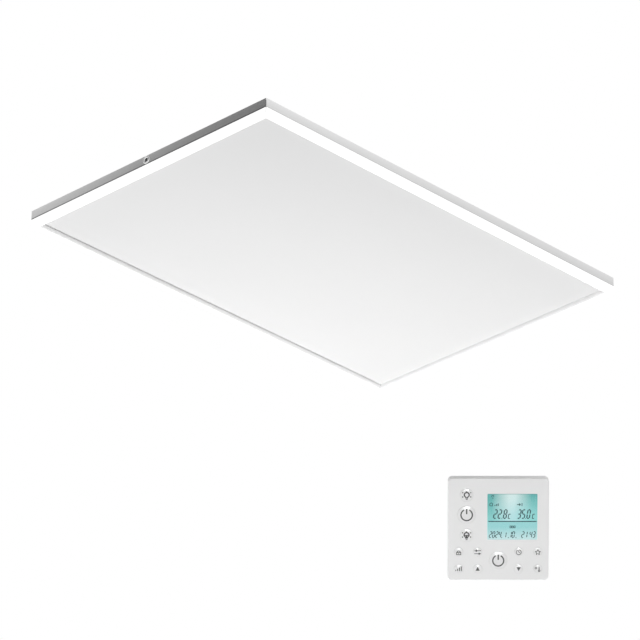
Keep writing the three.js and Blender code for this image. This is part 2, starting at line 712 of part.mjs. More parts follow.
// The door slides down along two side tongues, and has grip grooves near its lower end.
function batteryDoor() {
  const [low, high] = [-CONTROL_HEIGHT / 2, DOOR_TOP - RUN];
  const wide = DOOR_WIDTH / 2 - RUN;
  const back = -CONTROL_DEPTH;
  let door = block([-wide, low, back], [wide, high, REAR_UNDER]).add(
    block(
      [-wide - TONGUE, low, SLOT_LOW + GAP],
      [wide + TONGUE, high, SLOT_LOW + GAP + TONGUE_THICKNESS],
    ),
  );
  for (let i = 0; i < GRIP_COUNT; i++) {
    const y = low + GRIP_FROM_END + i * GRIP_PITCH;
    door = door.subtract(slab(GRIP_WIDTH, GRIP_HEIGHT, back - PAST, back + GRIP_DEPTH, 0, y));
  }
  return door;
}

const displayWindow = () =>
  plate(WINDOW_WIDTH - 2 * GAP, WINDOW_HEIGHT - 2 * GAP, WINDOW_CORNER, -GAP - WINDOW_PANE, -GAP,
    ...WINDOW_AT);

function displayModule() {
  const grow = 2 * DISPLAY_MARGIN;
  const top = -FRONT_WALL - GAP;
  const back = top - DISPLAY_DEPTH;
  return plate(WINDOW_WIDTH + grow, WINDOW_HEIGHT + grow, WINDOW_CORNER, back, top, ...WINDOW_AT)
    .add(slab(WINDOW_WIDTH, DISPLAY_FOOT, -BOARD_DEPTH + GAP, back + JOIN, ...WINDOW_AT));
}

// Circuit board, smaller than the shell so that it clears the bosses, with a push switch under every key.
function controlBoard(keys) {
  const side = 2 * BOARD_SIDE;
  const low = -BOARD_DEPTH - BOARD;
  let board = plate(CONTROL_WIDTH - side, CONTROL_HEIGHT - side, BOSS, low, -BOARD_DEPTH);
  for (const { x, y } of keys) {
    board = board
      .add(slab(SWITCH, SWITCH, -BOARD_DEPTH - JOIN, -SWITCH_TOP - SWITCH / 6, x, y))
      .add(rod(SWITCH / 4, -SWITCH_TOP - SWITCH / 4, -SWITCH_TOP, x, y, SIDES_SMALL / 2));
  }
  return board;
}

// A holder with two round wells that open to the battery door.
function cellHolder() {
  const top = -BOARD_DEPTH - BOARD - GAP;
  const low = REAR_UNDER + 2 * GAP;
  let holder = plate(HOLDER_WIDTH, HOLDER_HEIGHT, HOLDER_CORNER, low, top, 0, HOLDER_AT);
  for (const x of [-CELL_PITCH / 2, CELL_PITCH / 2]) {
    holder = holder.subtract(rod(CELL_RADIUS + GAP, low - PAST, top - JOIN, x, HOLDER_AT));
  }
  return holder;
}

// A round cell, with its smaller pole towards the door.
function coinCell(x) {
  const low = REAR_UNDER + GAP;
  const top = -BOARD_DEPTH - BOARD - GAP - JOIN - GAP;
  const cap = Math.min(top, low + CELL);
  return rod(CELL_RADIUS, low + CELL_STEP, cap, x, HOLDER_AT).add(
    rod(CELL_POLE, low, low + JOIN + CELL_STEP, x, HOLDER_AT),
  );
}

// A domed cap with a flange under the shell's face and a short core over its switch.
function key({ x, y, radius }) {
  const flangeTop = -FRONT_WALL - GAP;
  const flangeLow = flangeTop - KEY_FLANGE;
  const dome = [1, 0.85, 0.6, 0.3, 0].map(
    (share) =>
      new THREE.Vector2(share * radius, KEY_EDGE + KEY_RISE * radius * (1 - share ** KEY_CURVE)),
  );
  const profile = [
    [0, flangeLow - GAP],
    [SWITCH / 3, flangeLow - GAP],
    [SWITCH / 3, flangeLow],
    [radius + KEY_RIM, flangeLow],
    [radius + KEY_RIM, flangeTop],
    [radius, flangeTop],
  ].map(([r, up]) => new THREE.Vector2(r, up));
  const lathe = new THREE.LatheGeometry([...profile, ...dome], keySides(radius));
  return solid(lathe, place(x, y, 0).multiply(tilt(X, 90)));
}

const KEYS = [
  { name: "key_light_on", x: SIDE_KEYS, y: LIGHT_ON_ROW, radius: LIGHT_KEY_RADIUS },
  { name: "key_mode", x: SIDE_KEYS, y: MODE_ROW, radius: POWER_RADIUS },
  { name: "key_light_off", x: SIDE_KEYS, y: LIGHT_OFF_ROW, radius: LIGHT_KEY_RADIUS },
  { name: "key_lock", x: -OUTER_KEYS, y: UPPER_ROW, radius: KEY_RADIUS },
  { name: "key_program", x: -INNER_KEYS, y: UPPER_ROW, radius: KEY_RADIUS },
  { name: "key_timer", x: INNER_KEYS, y: UPPER_ROW, radius: KEY_RADIUS },
  { name: "key_night", x: OUTER_KEYS, y: UPPER_ROW, radius: KEY_RADIUS },
  { name: "key_menu", x: -OUTER_KEYS, y: LOWER_ROW, radius: KEY_RADIUS },
  { name: "key_up", x: -INNER_KEYS, y: LOWER_ROW, radius: KEY_RADIUS },
  { name: "key_down", x: INNER_KEYS, y: LOWER_ROW, radius: KEY_RADIUS },
  { name: "key_degree", x: OUTER_KEYS, y: LOWER_ROW, radius: KEY_RADIUS },
  { name: "key_power", x: 0, y: POWER_ROW, radius: POWER_RADIUS },
];

// ---- the scene ----
const finish = (color, roughness, metalness) => ({ color, roughness, metalness });
const ALUMINIUM = finish(0xb9bbbd, 0.35, 1);
const OPAL = finish(0xffffff, 0.5, 0);
const FACE = finish(0xe4e4e6, 0.6, 0.1);
const ZINC = finish(0xa9adb0, 0.4, 1);
const STEEL = finish(0x8f9397, 0.35, 1);
const CIRCUIT = finish(0x2f6b45, 0.6, 0);
const STRIP = finish(0xf4f3ea, 0.6, 0);
const FILM_BLACK = finish(0x26262a, 0.7, 0);
const WOOL = finish(0xcfc8b4, 0.95, 0);
const CASE = finish(0xe1e2e3, 0.45, 0);
const KEYCAP = finish(0xe6e7e8, 0.4, 0);
const SCREEN = finish(0x86cfc6, 0.3, 0);
const DARK = finish(0x3a3d40, 0.6, 0);
const COPPER = finish(0xc4442e, 0.6, 0);

function piece(name, manifold, look) {
  const mesh = new THREE.Mesh(geometryOf(manifold), new THREE.MeshStandardMaterial(look));
  mesh.name = name;
  return mesh;
}

const panel = new THREE.Group();
panel.position.z = REAR_PLANE;
for (const side of SIDES) {
  panel.add(piece(`rail_${side[0]}`, rail(side), ALUMINIUM));
  panel.add(piece(`light_bar_${side[0]}`, lightBar(side), OPAL));
  panel.add(piece(`light_strip_${side[0]}`, lightStrip(side), STRIP));
}
for (const [name, sx, sy] of [
  ["front_left", -1, -1],
  ["front_right", 1, -1],
  ["rear_left", -1, 1],
  ["rear_right", 1, 1],
]) {
  panel.add(piece(`corner_key_${name}`, cornerKey(sx, sy), ZINC));
}
panel.add(
  piece("face_tray", faceTray(), FACE),
  piece("heating_film", heatingFilm(), FILM_BLACK),
  piece("reflector_foil", reflectorFoil(), ALUMINIUM),
  piece("insulation_board", insulationBoard(), WOOL),
  piece("rear_cover", rearCover(), ZINC),
  piece("ceiling_rail_left", ceilingRail(-RAIL_AT), ZINC),
  piece("ceiling_rail_right", ceilingRail(RAIL_AT), ZINC),
  piece("cable_bush", cableBush(), STEEL),
  piece("bush_nut", bushNut(), STEEL),
  piece("bay_wall", bayWall(), ZINC),
  piece("bay_floor", bayFloor(), WOOL),
  piece("terminal_block", terminalBlock(), CASE),
  piece("receiver_module", receiverModule(), DARK),
  piece("light_driver", lightDriver(), CASE),
  piece("earth_stud", earthStud(), STEEL),
  piece("thermal_cutout_1", thermalCutout(0), DARK),
  piece("thermal_cutout_2", thermalCutout(1), DARK),
  piece("heater_lead_live", heaterLead(1), COPPER),
  piece("heater_lead_neutral", heaterLead(-1), DARK),
);

const controller = new THREE.Group();
controller.position.set(CONTROL_ASIDE, -CONTROL_AHEAD, -CONTROL_DROP);
controller.rotation.set(
  THREE.MathUtils.degToRad(CONTROL_LEAN), 0, THREE.MathUtils.degToRad(CONTROL_TURN), "ZXY",
);
controller.add(
  piece("control_front", controlFront(KEYS), CASE),
  piece("control_rear", controlRear(), CASE),
  piece("battery_door", batteryDoor(), CASE),
  piece("display_window", displayWindow(), SCREEN),
  piece("display_module", displayModule(), SCREEN),
  piece("control_board", controlBoard(KEYS), CIRCUIT),
  piece("cell_holder", cellHolder(), DARK),
  piece("coin_cell_1", coinCell(-CELL_PITCH / 2), STEEL),
  piece("coin_cell_2", coinCell(CELL_PITCH / 2), STEEL),
);
for (const one of KEYS) controller.add(piece(one.name, key(one), KEYCAP));

const heater = new THREE.Group();
heater.name = "infrared_panel_heater";
heater.add(panel, controller);
export default heater;
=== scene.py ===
# %% [markdown]
# # A ceiling heating panel with a lit edge, and its keypad controller
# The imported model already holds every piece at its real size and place. This lesson dresses those
# pieces: it softens their edges, adds the small things that a model for motion leaves out, such as
# screws, printed marks and display digits, and gives each surface a finish. The frame comes first,
# because all else hangs on it.

# %% The frame
import json
import math

import bmesh
import bpy
from mathutils import Matrix, Vector


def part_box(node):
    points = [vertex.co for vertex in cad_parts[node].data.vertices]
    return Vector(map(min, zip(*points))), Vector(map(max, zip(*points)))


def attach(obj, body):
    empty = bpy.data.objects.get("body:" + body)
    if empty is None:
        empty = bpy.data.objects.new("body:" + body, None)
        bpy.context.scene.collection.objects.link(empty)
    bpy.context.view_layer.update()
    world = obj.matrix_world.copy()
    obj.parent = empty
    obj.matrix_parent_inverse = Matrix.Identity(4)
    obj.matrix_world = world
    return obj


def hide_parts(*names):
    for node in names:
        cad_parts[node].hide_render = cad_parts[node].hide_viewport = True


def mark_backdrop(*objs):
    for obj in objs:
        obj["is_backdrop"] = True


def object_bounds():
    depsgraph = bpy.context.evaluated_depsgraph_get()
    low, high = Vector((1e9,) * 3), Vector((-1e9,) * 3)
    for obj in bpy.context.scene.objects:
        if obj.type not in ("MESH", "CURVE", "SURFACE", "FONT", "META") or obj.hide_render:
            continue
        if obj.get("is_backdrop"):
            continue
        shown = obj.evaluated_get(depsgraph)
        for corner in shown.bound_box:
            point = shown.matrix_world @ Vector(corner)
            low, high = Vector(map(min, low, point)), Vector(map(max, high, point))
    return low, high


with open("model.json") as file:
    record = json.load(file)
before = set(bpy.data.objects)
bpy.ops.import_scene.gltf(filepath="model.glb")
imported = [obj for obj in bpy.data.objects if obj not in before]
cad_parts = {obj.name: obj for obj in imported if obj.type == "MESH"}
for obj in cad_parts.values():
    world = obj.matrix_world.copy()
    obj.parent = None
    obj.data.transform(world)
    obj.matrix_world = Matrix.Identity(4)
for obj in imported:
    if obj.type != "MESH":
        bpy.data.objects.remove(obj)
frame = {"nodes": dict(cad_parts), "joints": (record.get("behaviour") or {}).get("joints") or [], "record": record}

solid_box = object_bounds()

# %% [markdown]
# ## The camera
# The photograph looks up at the panel from far away with a long lens, so its edges run almost
# parallel. The place, the aim and the lens come from fitting the panel's known corners to their
# places in the picture.

# %% Camera
MM = 0.001
PICTURE = 640  # pixels across
LENS_IN_PIXELS = 5169.1
SENSOR = 36.0  # millimetres across
NEAR, FAR = 0.1, 100.0
CAMERA_AT = Vector((-4.0606, -3.8769, -3.0567))
CAMERA_AZIMUTH = math.radians(-46.2495)
CAMERA_ELEVATION = math.radians(-27.6059)


def as_object(name, data):
    """Puts a mesh, a lamp or a camera into the scene as an object of that name."""
    thing = bpy.data.objects.new(name, data)
    bpy.context.scene.collection.objects.link(thing)
    return thing


def aim(azimuth, elevation):
    """Camera turn for a view along +Y at azimuth 0, from that elevation above the horizon."""
    back = Vector((
        math.sin(azimuth) * math.cos(elevation),
        -math.cos(azimuth) * math.cos(elevation),
        math.sin(elevation),
    ))
    return (-back).to_track_quat("-Z", "Y")


camera = as_object("camera", bpy.data.cameras.new("camera"))
camera.data.sensor_width = SENSOR
camera.data.lens = LENS_IN_PIXELS / PICTURE * SENSOR
camera.data.clip_start, camera.data.clip_end = NEAR, FAR
camera.location = CAMERA_AT
camera.rotation_mode = "QUATERNION"
camera.rotation_quaternion = aim(CAMERA_AZIMUTH, CAMERA_ELEVATION)
bpy.context.scene.camera = camera
bpy.context.scene.view_settings.view_transform = "Standard"
print("camera: lens", round(camera.data.lens, 1), "mm")

# %% [markdown]
# ## Writing shader maths as expressions
# A material is a small program. Wired by hand it is hard to read, so one class wraps a socket and
# lets Python's own operators add the Math nodes. `Finish` holds one material, and its `add` makes
# any other node.

# %% Wires and finishes
class Wire:
    """A value inside a material, to be added, multiplied or compared like a number."""

    def __init__(self, finish, socket):
        self.finish, self.socket = finish, socket

    def maths(self, operation, *others):
        return self.finish.add(
            "ShaderNodeMath", dict(enumerate((self, *others))), operation=operation
        )

    def __add__(self, other):
        return self.maths("ADD", other)

    def __sub__(self, other):
        return self.maths("SUBTRACT", other)

    def __mul__(self, other):
        return self.maths("MULTIPLY", other)

    def __rsub__(self, other):
        return self.finish.add(
            "ShaderNodeMath", {0: other, 1: self}, operation="SUBTRACT"
        )

    def __lt__(self, other):
        return self.maths("LESS_THAN", other)

    def __abs__(self):
        return self.maths("ABSOLUTE")

    __radd__, __rmul__ = __add__, __mul__


class Finish:
    """A material built from expressions."""

    def __init__(self, name):
        self.material = bpy.data.materials.new(name)
        self.material.use_nodes = True
        self.tree = self.material.node_tree
        self.shader = self.tree.nodes["Principled BSDF"]

    def add(self, kind, values=None, out=0, stops=None, **settings):
        """Adds a node: its settings first, then a ramp's stops, then what its sockets take."""
        node = self.tree.nodes.new(kind)
        for name, value in settings.items():
            setattr(node, name, value)
        if stops:
            ramp = node.color_ramp.elements
            while len(ramp) < len(stops):
                ramp.new(0.5)
            for element, (place, color) in zip(ramp, stops):
                element.position, element.color = place, (*color, 1)
        self.fill(node, values or {})
        return Wire(self, node.outputs[out])

    def fill(self, node, values):
        for name, value in values.items():
            socket = node.inputs[name]
            if isinstance(value, Wire):
                self.tree.links.new(value.socket, socket)
            elif isinstance(value, tuple) and len(value) == 3 and socket.type == "RGBA":
                socket.default_value = (*value, 1)
            else:
                socket.default_value = value

    def set(self, **values):
        """Sets the shader's own sockets, with spaces in their names written as underscores."""
        self.fill(self.shader, {k.replace("_", " "): v for k, v in values.items()})
        return self

    def place(self):
        return self.add("ShaderNodeTexCoord", out="Object")

    def axes(self, vector):
        parts = self.add("ShaderNodeSeparateXYZ", {0: vector})
        return [Wire(self, parts.socket.node.outputs[i]) for i in range(3)]

    def stretch(self, vector, factors):
        return self.add("ShaderNodeVectorMath", {0: vector, 1: factors}, operation="MULTIPLY")

    def noise(self, vector, scale, detail=3.0, roughness=0.5):
        return self.add(
            "ShaderNodeTexNoise",
            {"Vector": vector, "Scale": scale, "Detail": detail, "Roughness": roughness},
            out="Fac",
        )

    def blend(self, mask, low, high):
        return self.add("ShaderNodeMix", {0: mask, 6: low, 7: high}, out=2, data_type="RGBA")

    def span(self, value, low, high, to_low=0.0, to_high=1.0):
        return self.add(
            "ShaderNodeMapRange", {0: value, 1: low, 2: high, 3: to_low, 4: to_high}
        )

    def bump(self, height, distance, strength=1.0):
        return self.add(
            "ShaderNodeBump", {"Strength": strength, "Distance": distance, "Height": height}
        )


def gray(level):
    """A display grey, 0 to 255, as the linear colour that a shader takes."""
    value = level / 255
    linear = value / 12.92 if value < 0.04 else ((value + 0.055) / 1.055) ** 2.4
    return (linear,) * 3


def color(red, green, blue):
    return tuple(gray(level)[0] for level in (red, green, blue))


print("shader toolkit ready")

# %% [markdown]
# ## Studio: a white room
# The picture is a plain product shot on white. The world is white to the camera and to reflections,
# and a little dimmer as light, so that a colour renders about as it is written.

# %% World
AMBIENT = 0.74  # the world's level as light
world = bpy.data.worlds.new("studio")
bpy.context.scene.world = world
world.use_nodes = True
nodes, links = world.node_tree.nodes, world.node_tree.links
nodes.clear()
rays = nodes.new("ShaderNodeLightPath")


def world_math(operation, a, b):
    node = nodes.new("ShaderNodeMath")
    node.operation = operation
    for socket, value in zip(node.inputs, (a, b)):
        if isinstance(value, (int, float)):
            socket.default_value = value
        else:
            links.new(value, socket)
    return node.outputs[0]


seen = world_math(
    "MAXIMUM",
    rays.outputs["Is Camera Ray"],
    world_math("MAXIMUM", rays.outputs["Is Glossy Ray"], rays.outputs["Is Transmission Ray"]),
)
background = nodes.new("ShaderNodeBackground")
background.inputs["Color"].default_value = (1, 1, 1, 1)
strength = world_math("ADD", world_math("MULTIPLY", seen, 1.0 - AMBIENT), AMBIENT)
links.new(strength, background.inputs["Strength"])
out = nodes.new("ShaderNodeOutputWorld")
links.new(background.outputs[0], out.inputs["Surface"])
print("world: white when seen,", AMBIENT, "as light")

# %% [markdown]
# The floor lies far below, so that low views don't meet it. Its matt paint takes a soft shadow. To
# the camera, in reflections and through clear pieces it also glows, just enough to look as white as
# the world.

# %% Floor
SQUARE = ((-1, -1), (1, -1), (1, 1), (-1, 1))
FLOOR_LEVEL = -8.0
FLOOR_HALF = 34.0
FLOOR_GLOW = 0.44  # with the light that the matt floor sends back, this makes white


def staged_plane(name, corners, material):
    mesh = bpy.data.meshes.new(name)
    mesh.from_pydata(corners, [], [tuple(range(len(corners)))])
    mesh.materials.append(material)
    thing = as_object(name, mesh)
    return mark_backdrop(thing) or thing


floor_paint = Finish("pale_floor")
seen_ray = floor_paint.add("ShaderNodeLightPath", out="Is Camera Ray")
for kind in ("Is Glossy Ray", "Is Transmission Ray"):
    seen_ray = seen_ray.maths("MAXIMUM", floor_paint.add("ShaderNodeLightPath", out=kind))
floor_glow = floor_paint.add(
    "ShaderNodeEmission", {"Color": (1, 1, 1), "Strength": seen_ray * FLOOR_GLOW}
)
floor_matt = floor_paint.add("ShaderNodeBsdfDiffuse", {"Color": gray(226)})
floor_look = floor_paint.add("ShaderNodeAddShader", {0: floor_matt, 1: floor_glow})
floor_paint.tree.links.new(
    floor_look.socket, floor_paint.tree.nodes["Material Output"].inputs["Surface"]
)
floor_corners = [(x * FLOOR_HALF, y * FLOOR_HALF, FLOOR_LEVEL) for x, y in SQUARE]
staged_plane("floor", floor_corners, floor_paint.material)
print("floor:", -FLOOR_LEVEL, "m below the ceiling")

# %% [markdown]
# One soft lamp stands below the far part of the warm face and shines straight up, so that the face
# grows brighter that way, as in the picture. A second, narrow one stands beside the camera and puts
# a small shine on the upper slopes of the keys.

# %% Lamps
def soft_lamp(name, at, towards, size, power, spread=180.0):
    """An area lamp: places and sizes in metres, power in watts, spread in degrees."""
    light = bpy.data.lights.new(name, "AREA")
    light.shape, light.energy = "ELLIPSE", power
    light.size, light.size_y = size
    light.spread = math.radians(spread)
    lamp = as_object(name, light)
    lamp.location = at
    lamp.rotation_mode = "QUATERNION"
    lamp.rotation_quaternion = (Vector(towards) - Vector(at)).to_track_quat("-Z", "Y")
    lamp.visible_camera = False


soft_lamp("face_lamp", at=(0.15, 0.4, -1.1), towards=(0.15, 0.4, 0.0), size=(0.8, 0.8), power=6.2)
soft_lamp(
    "keypad_lamp", at=(-1.315, -1.655, -1.67), towards=(0.105, -0.183, -0.429),
    size=(0.9, 0.3), power=0.21, spread=18.0,
)
print("lamps:", len(bpy.data.lights))

# %% [markdown]
# ## Cards for the metal to look at
# Metal shows what it reflects. In the picture the short side wall runs from dark, near the corner,
# to light, and the long one grows a little darker towards its far end. A photographer does that
# with graded cards beside the object, so here a card stands where each wall's reflection points.
# Only reflections see them.

# %% Graded cards
SHORT_CARD_X, LONG_CARD_Y = -0.72, -0.9
SHORT_CARD_EDGES = ((-0.3, 0.0), (-0.3, 0.8), (1.1, 0.8), (1.1, 0.0))  # y and z of its corners
LONG_CARD_EDGES = ((0.3, 0.1), (1.5, 0.1), (1.5, 1.1), (0.3, 1.1))  # x and z of its corners
# Each stop is a place along the card, in metres, and the light that the card sends from there.
SHORT_STOPS = ((0.10, 0.10), (0.28, 0.16), (0.40, 0.31), (0.50, 0.48), (0.60, 0.78), (0.72, 0.94))
LONG_STOPS = ((0.60, 1.0), (0.69, 0.96), (0.75, 0.93), (0.81, 0.91), (0.99, 0.9))


def graded_card(name, axis, stops, corners):
    """A glowing plane, graded along X (axis 0) or Y (axis 1), which only reflections see."""
    f = Finish(name)
    across = f.axes(f.place())[axis]
    graded = f.add(
        "ShaderNodeValToRGB", {0: across}, stops=[(at, (level,) * 3) for at, level in stops]
    )
    glow = f.add("ShaderNodeEmission", {"Color": graded, "Strength": 1.0})
    f.tree.links.new(glow.socket, f.tree.nodes["Material Output"].inputs["Surface"])
    card = staged_plane(name, corners, f.material)
    for ray in ("camera", "diffuse", "transmission", "volume_scatter", "shadow"):
        setattr(card, f"visible_{ray}", False)


graded_card(
    "short_wall_card", 1, SHORT_STOPS, [(SHORT_CARD_X, y, z) for y, z in SHORT_CARD_EDGES]
)
graded_card("long_wall_card", 0, LONG_STOPS, [(x, LONG_CARD_Y, z) for x, z in LONG_CARD_EDGES])
print("card stops:", len(SHORT_STOPS), "and", len(LONG_STOPS))

# %% [markdown]
# ## Finishes of the panel
# Anodised aluminium is a metal with very fine lines along each length. The lines are noise,
# stretched nearly three hundred times along the length, so the two long rails and the two short
# ones need their own direction.

# %% Aluminium
rail_low, rail_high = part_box("rail_front")
LINES_ACROSS, LINES_ALONG = 2600.0, 9.0  # cells of the noise in a metre


def aluminium(name, along, painted_shade_height, painted_shade_tone):
    """Drawn metal with fine lines; painted light to the top, painted shade at the lower edge."""
    f = Finish(name)
    fine = [LINES_ACROSS] * 3
    fine["XY".index(along)] = LINES_ALONG
    lines = f.noise(f.stretch(f.place(), tuple(fine)), 1.0, detail=2.0)
    cloud = f.noise(f.place(), 14.0)
    mask = lines * 0.6 + cloud * 0.4
    height = f.axes(f.place())[2]
    # painted light: the wall turns lighter towards its top
    upward = f.span(height, rail_low.z, rail_high.z)
    # painted shade: a darker line along the wall's lower edge
    edge = f.span(height, rail_low.z + painted_shade_height, rail_low.z + painted_shade_height / 3)
    plain = f.blend(mask, gray(206), gray(220))
    graded = f.blend(upward * 0.5, plain, gray(244))
    f.set(
        Base_Color=f.blend(edge, graded, gray(painted_shade_tone)),
        Metallic=1.0,
        Roughness=f.span(mask, 0.2, 0.8, 0.28, 0.38),
        Normal=f.bump(lines, 0.00002, 0.35),
    )
    return f.material


# the last two: the height and the grey of the painted shade along the lower edge
ALUMINIUM = {
    "X": aluminium("aluminium_long", "X", 0.9 * MM, 190),
    "Y": aluminium("aluminium_short", "Y", 1.7 * MM, 90),
}
print("aluminium for heights", round(rail_low.z / MM, 1), "to", round(rail_high.z / MM, 1), "mm")

# %% [markdown]
# The light bar is opal plastic, lit from inside by the small lamps under its roof. Its outside and
# its underside glow evenly. Its inner wall runs up past the warm face. Painted shade darkens that
# wall towards the face and dims its glow above its foot, and a painted shadow lies in the thin joint
# at its top. One mask tells the inner wall from the outer one by how far it lies from the panel's
# middle.

# %% Opal light bar
face_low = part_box("face_tray")[0]
bar_low, bar_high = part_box("light_bar_front")
bar_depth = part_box("light_bar_left")[1].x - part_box("light_bar_left")[0].x
JOINT = 0.5 * MM  # shadow at the top of the inner wall
GLOW_DEPTH = 2.8 * MM  # how far the glow reaches up the inner wall
LOWER_EDGE = 0.4 * MM  # the inner wall keeps its full white up to here
OPAL_GLOW = 0.42
JOINT_GLOW = 96  # what is left of the glow in the joint, as a grey


def opal(name, joint_shadow_tone, wall_tone, wall_glow):
    """Even glow outside and below; painted shade on the inner wall, and a painted joint shadow."""
    f = Finish(name)
    x, y, height = f.axes(f.place())
    inner = (abs(x) < bar_high.x - bar_depth * 0.6) * (abs(y) < -bar_low.y - bar_depth * 0.6)
    # painted shade: inner wall darker towards the face, glow dimmed above its foot, joint in shadow
    fade = f.span(height, bar_low.z + LOWER_EDGE, face_low.z) * inner
    joint_shadow = f.span(height, face_low.z - JOINT, face_low.z - JOINT / 3) * inner
    dim = f.span(height, bar_low.z, bar_low.z + GLOW_DEPTH) * inner
    grain = f.noise(f.place(), 900.0, detail=2.0)
    plain = f.blend(grain, gray(246), gray(251))
    f.set(
        Base_Color=f.blend(joint_shadow, f.blend(fade, plain, gray(wall_tone)), gray(joint_shadow_tone)),
        Roughness=0.42,
        Emission_Color=f.blend(
            joint_shadow, f.blend(dim, gray(255), gray(wall_glow)), gray(JOINT_GLOW)
        ),
        Emission_Strength=OPAL_GLOW,
        Normal=f.bump(grain, 0.00001, 0.2),
    )
    return f.material


# tones of the joint's painted shadow and of the inner wall's painted shade, then its dimmed glow
OPAL = {"X": opal("opal_long", 218, 236, 140), "Y": opal("opal_short", 240, 226, 130)}
print("opal: inner wall", round((face_low.z - bar_low.z) / MM, 1), "mm high")

# %% [markdown]
# The warm face is sheet with a matt powder coat, whose fine orange peel breaks up its shine. Along
# its long sides the joint with the light frame lays a thin shadow over it, which fades out before
# the corners.

# %% Face coating
EDGE_SHADE = 2.6 * MM  # width of the joint's shadow
SHADE_FADE = 14 * MM  # it fades out over this length before the corners
SHADE_TONE = 208


def face_coating():
    """Matt powder coat: a fine orange peel with a trace of darker and lighter grain."""
    f = Finish("face_coating")
    x, y, _ = f.axes(f.place())
    long_wall, short_wall = -bar_low.y - bar_depth, bar_high.x - bar_depth
    along = f.span(abs(x), short_wall, short_wall - SHADE_FADE)
    shade = f.span(abs(y), long_wall - EDGE_SHADE, long_wall - EDGE_SHADE / 2) * along
    peel = f.noise(f.place(), 1500.0, detail=3.0, roughness=0.6)
    cloud = f.noise(f.place(), 5.0, detail=2.0)
    coat = f.blend(peel * 0.5 + cloud * 0.5, gray(235), gray(240))
    f.set(
        Base_Color=f.blend(shade, coat, gray(SHADE_TONE)),
        Roughness=f.span(peel, 0.3, 0.7, 0.52, 0.66),
        Normal=f.bump(peel, 0.00003, 0.5),
    )
    return f.material


FACE = face_coating()
print("face coating: shadow", round(EDGE_SHADE / MM, 1), "mm wide")

# %% [markdown]
# Hidden sheet is zinc coated, and such a coat shows its crystals. A Voronoi pattern gives each cell
# one value, which sets its grey, and together with a finer noise its gloss.

# %% Zinc
CRYSTALS = 90.0  # in a metre


def zinc():
    """Zinc coated sheet: large soft crystals, each with its own grey and gloss."""
    f = Finish("zinc_sheet")
    crystals = f.add(
        "ShaderNodeTexVoronoi", {"Vector": f.place(), "Scale": CRYSTALS, "Randomness": 1.0},
        out="Color",
    )
    tone = f.axes(crystals)[0]
    fine = f.noise(f.place(), 700.0)
    f.set(
        Base_Color=f.blend(tone, gray(186), gray(206)),
        Metallic=1.0,
        Roughness=f.span(tone + fine, 0.3, 1.6, 0.34, 0.52),
        Normal=f.bump(fine, 0.00002, 0.3),
    )
    return f.material


ZINC = zinc()
print("zinc: crystals about", round(1000 / CRYSTALS), "mm across")

# %% [markdown]
# Most other pieces are moulded plastic or plain metal. One function makes each kind, and a finish
# only chooses its two tones and its gloss.

# %% Plastics and metals
def moulded(name, low, high, roughness, grain=1900.0, depth=0.00002, coat=0.0):
    """Moulded plastic with a fine spark-eroded grain, and a clear coat where one is asked."""
    f = Finish(name)
    spots = f.noise(f.place(), grain, detail=3.0)
    cloud = f.noise(f.place(), 30.0, detail=2.0)
    f.set(
        Base_Color=f.blend(cloud * 0.6 + spots * 0.4, low, high),
        Roughness=f.span(spots, 0.3, 0.7, roughness - 0.05, roughness + 0.07),
        Coat_Weight=coat,
        Coat_Roughness=0.1,
        Normal=f.bump(spots, depth, 0.4),
    )
    return f.material


def metal(name, low, high, roughness, scale=800.0):
    """Plain metal with a fine grain in its grey and its gloss."""
    f = Finish(name)
    grain = f.noise(f.place(), scale, detail=3.0)
    f.set(
        Base_Color=f.blend(grain, low, high),
        Metallic=1.0,
        Roughness=f.span(grain, 0.3, 0.7, roughness, roughness + 0.1),
        Normal=f.bump(grain, 0.00001, 0.2),
    )
    return f.material


NICKEL = metal("nickel", gray(236), gray(246), 0.1)
SCREW_STEEL = metal("screw_steel", gray(176), gray(200), 0.24)
FOIL = metal("foil", gray(214), gray(230), 0.2, 120.0)
FILM = moulded("carbon_film", gray(34), gray(46), 0.55)
WOOL = moulded("mineral_board", color(196, 188, 168), color(224, 217, 199), 0.85, 260.0, 0.0003)
STRIP = moulded("strip_board", color(238, 236, 222), color(250, 248, 238), 0.5)
SHELL = moulded("control_shell", gray(231), gray(234), 0.42)
CAP = moulded("control_cap", gray(229), gray(233), 0.2, 900.0, 0.000004, coat=0.4)
DARK = moulded("dark_moulding", gray(44), gray(56), 0.5)
LIGHT = moulded("light_moulding", color(226, 226, 220), color(238, 238, 233), 0.5)
RED = moulded("red_sleeve", color(170, 48, 34), color(190, 60, 44), 0.5)
BLACK = moulded("black_sleeve", gray(26), gray(36), 0.5)
BOARD = moulded("circuit_board", color(26, 92, 54), color(38, 112, 68), 0.35)
PRINT = moulded("printed_mark", gray(60), gray(72), 0.5)
print("finishes:", len(bpy.data.materials))

# %% [markdown]
# ## Carrying a solid over with soft edges
# No real edge is perfectly sharp: it catches a thin line of light. `dressed` copies a solid's mesh,
# merges its loose corners, joins its flat triangles and rounds the sharp edges. The new piece
# stands for the solid.

# %% Dressed copies
MERGE = 2e-6  # corners of a solid that lie closer than this are one
FLAT = 0.5  # degrees between triangles of one flat face
BEVEL_STEPS = 2


def body_of(node):
    bodies = frame["record"]["behaviour"]["bodies"]
    return next(body for body, members in bodies.items() if node in members)


def slot_of(node):
    return next(s["material_slot"] for s in frame["record"]["subparts"] if s["node"] == node)


def piece_from(name, mesh, material, body, slot, *stands_for):
    """Turns a mesh in the frame's own place into a piece of the object."""
    mesh.materials.clear()
    mesh.materials.append(material)
    thing = as_object(name, mesh)
    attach(thing, body)
    if stands_for:
        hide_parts(*stands_for)


def applied(thing):
    """The mesh with all modifiers applied, as a plain mesh; the helper object goes."""
    graph = bpy.context.evaluated_depsgraph_get()
    mesh = bpy.data.meshes.new_from_object(thing.evaluated_get(graph))
    bpy.data.objects.remove(thing)
    return mesh


def shaded(mesh, angle):
    """Shades a mesh smooth, but for its edges that are sharper than the angle."""
    mesh.shade_smooth()
    mesh.set_sharp_from_angle(angle=math.radians(angle))


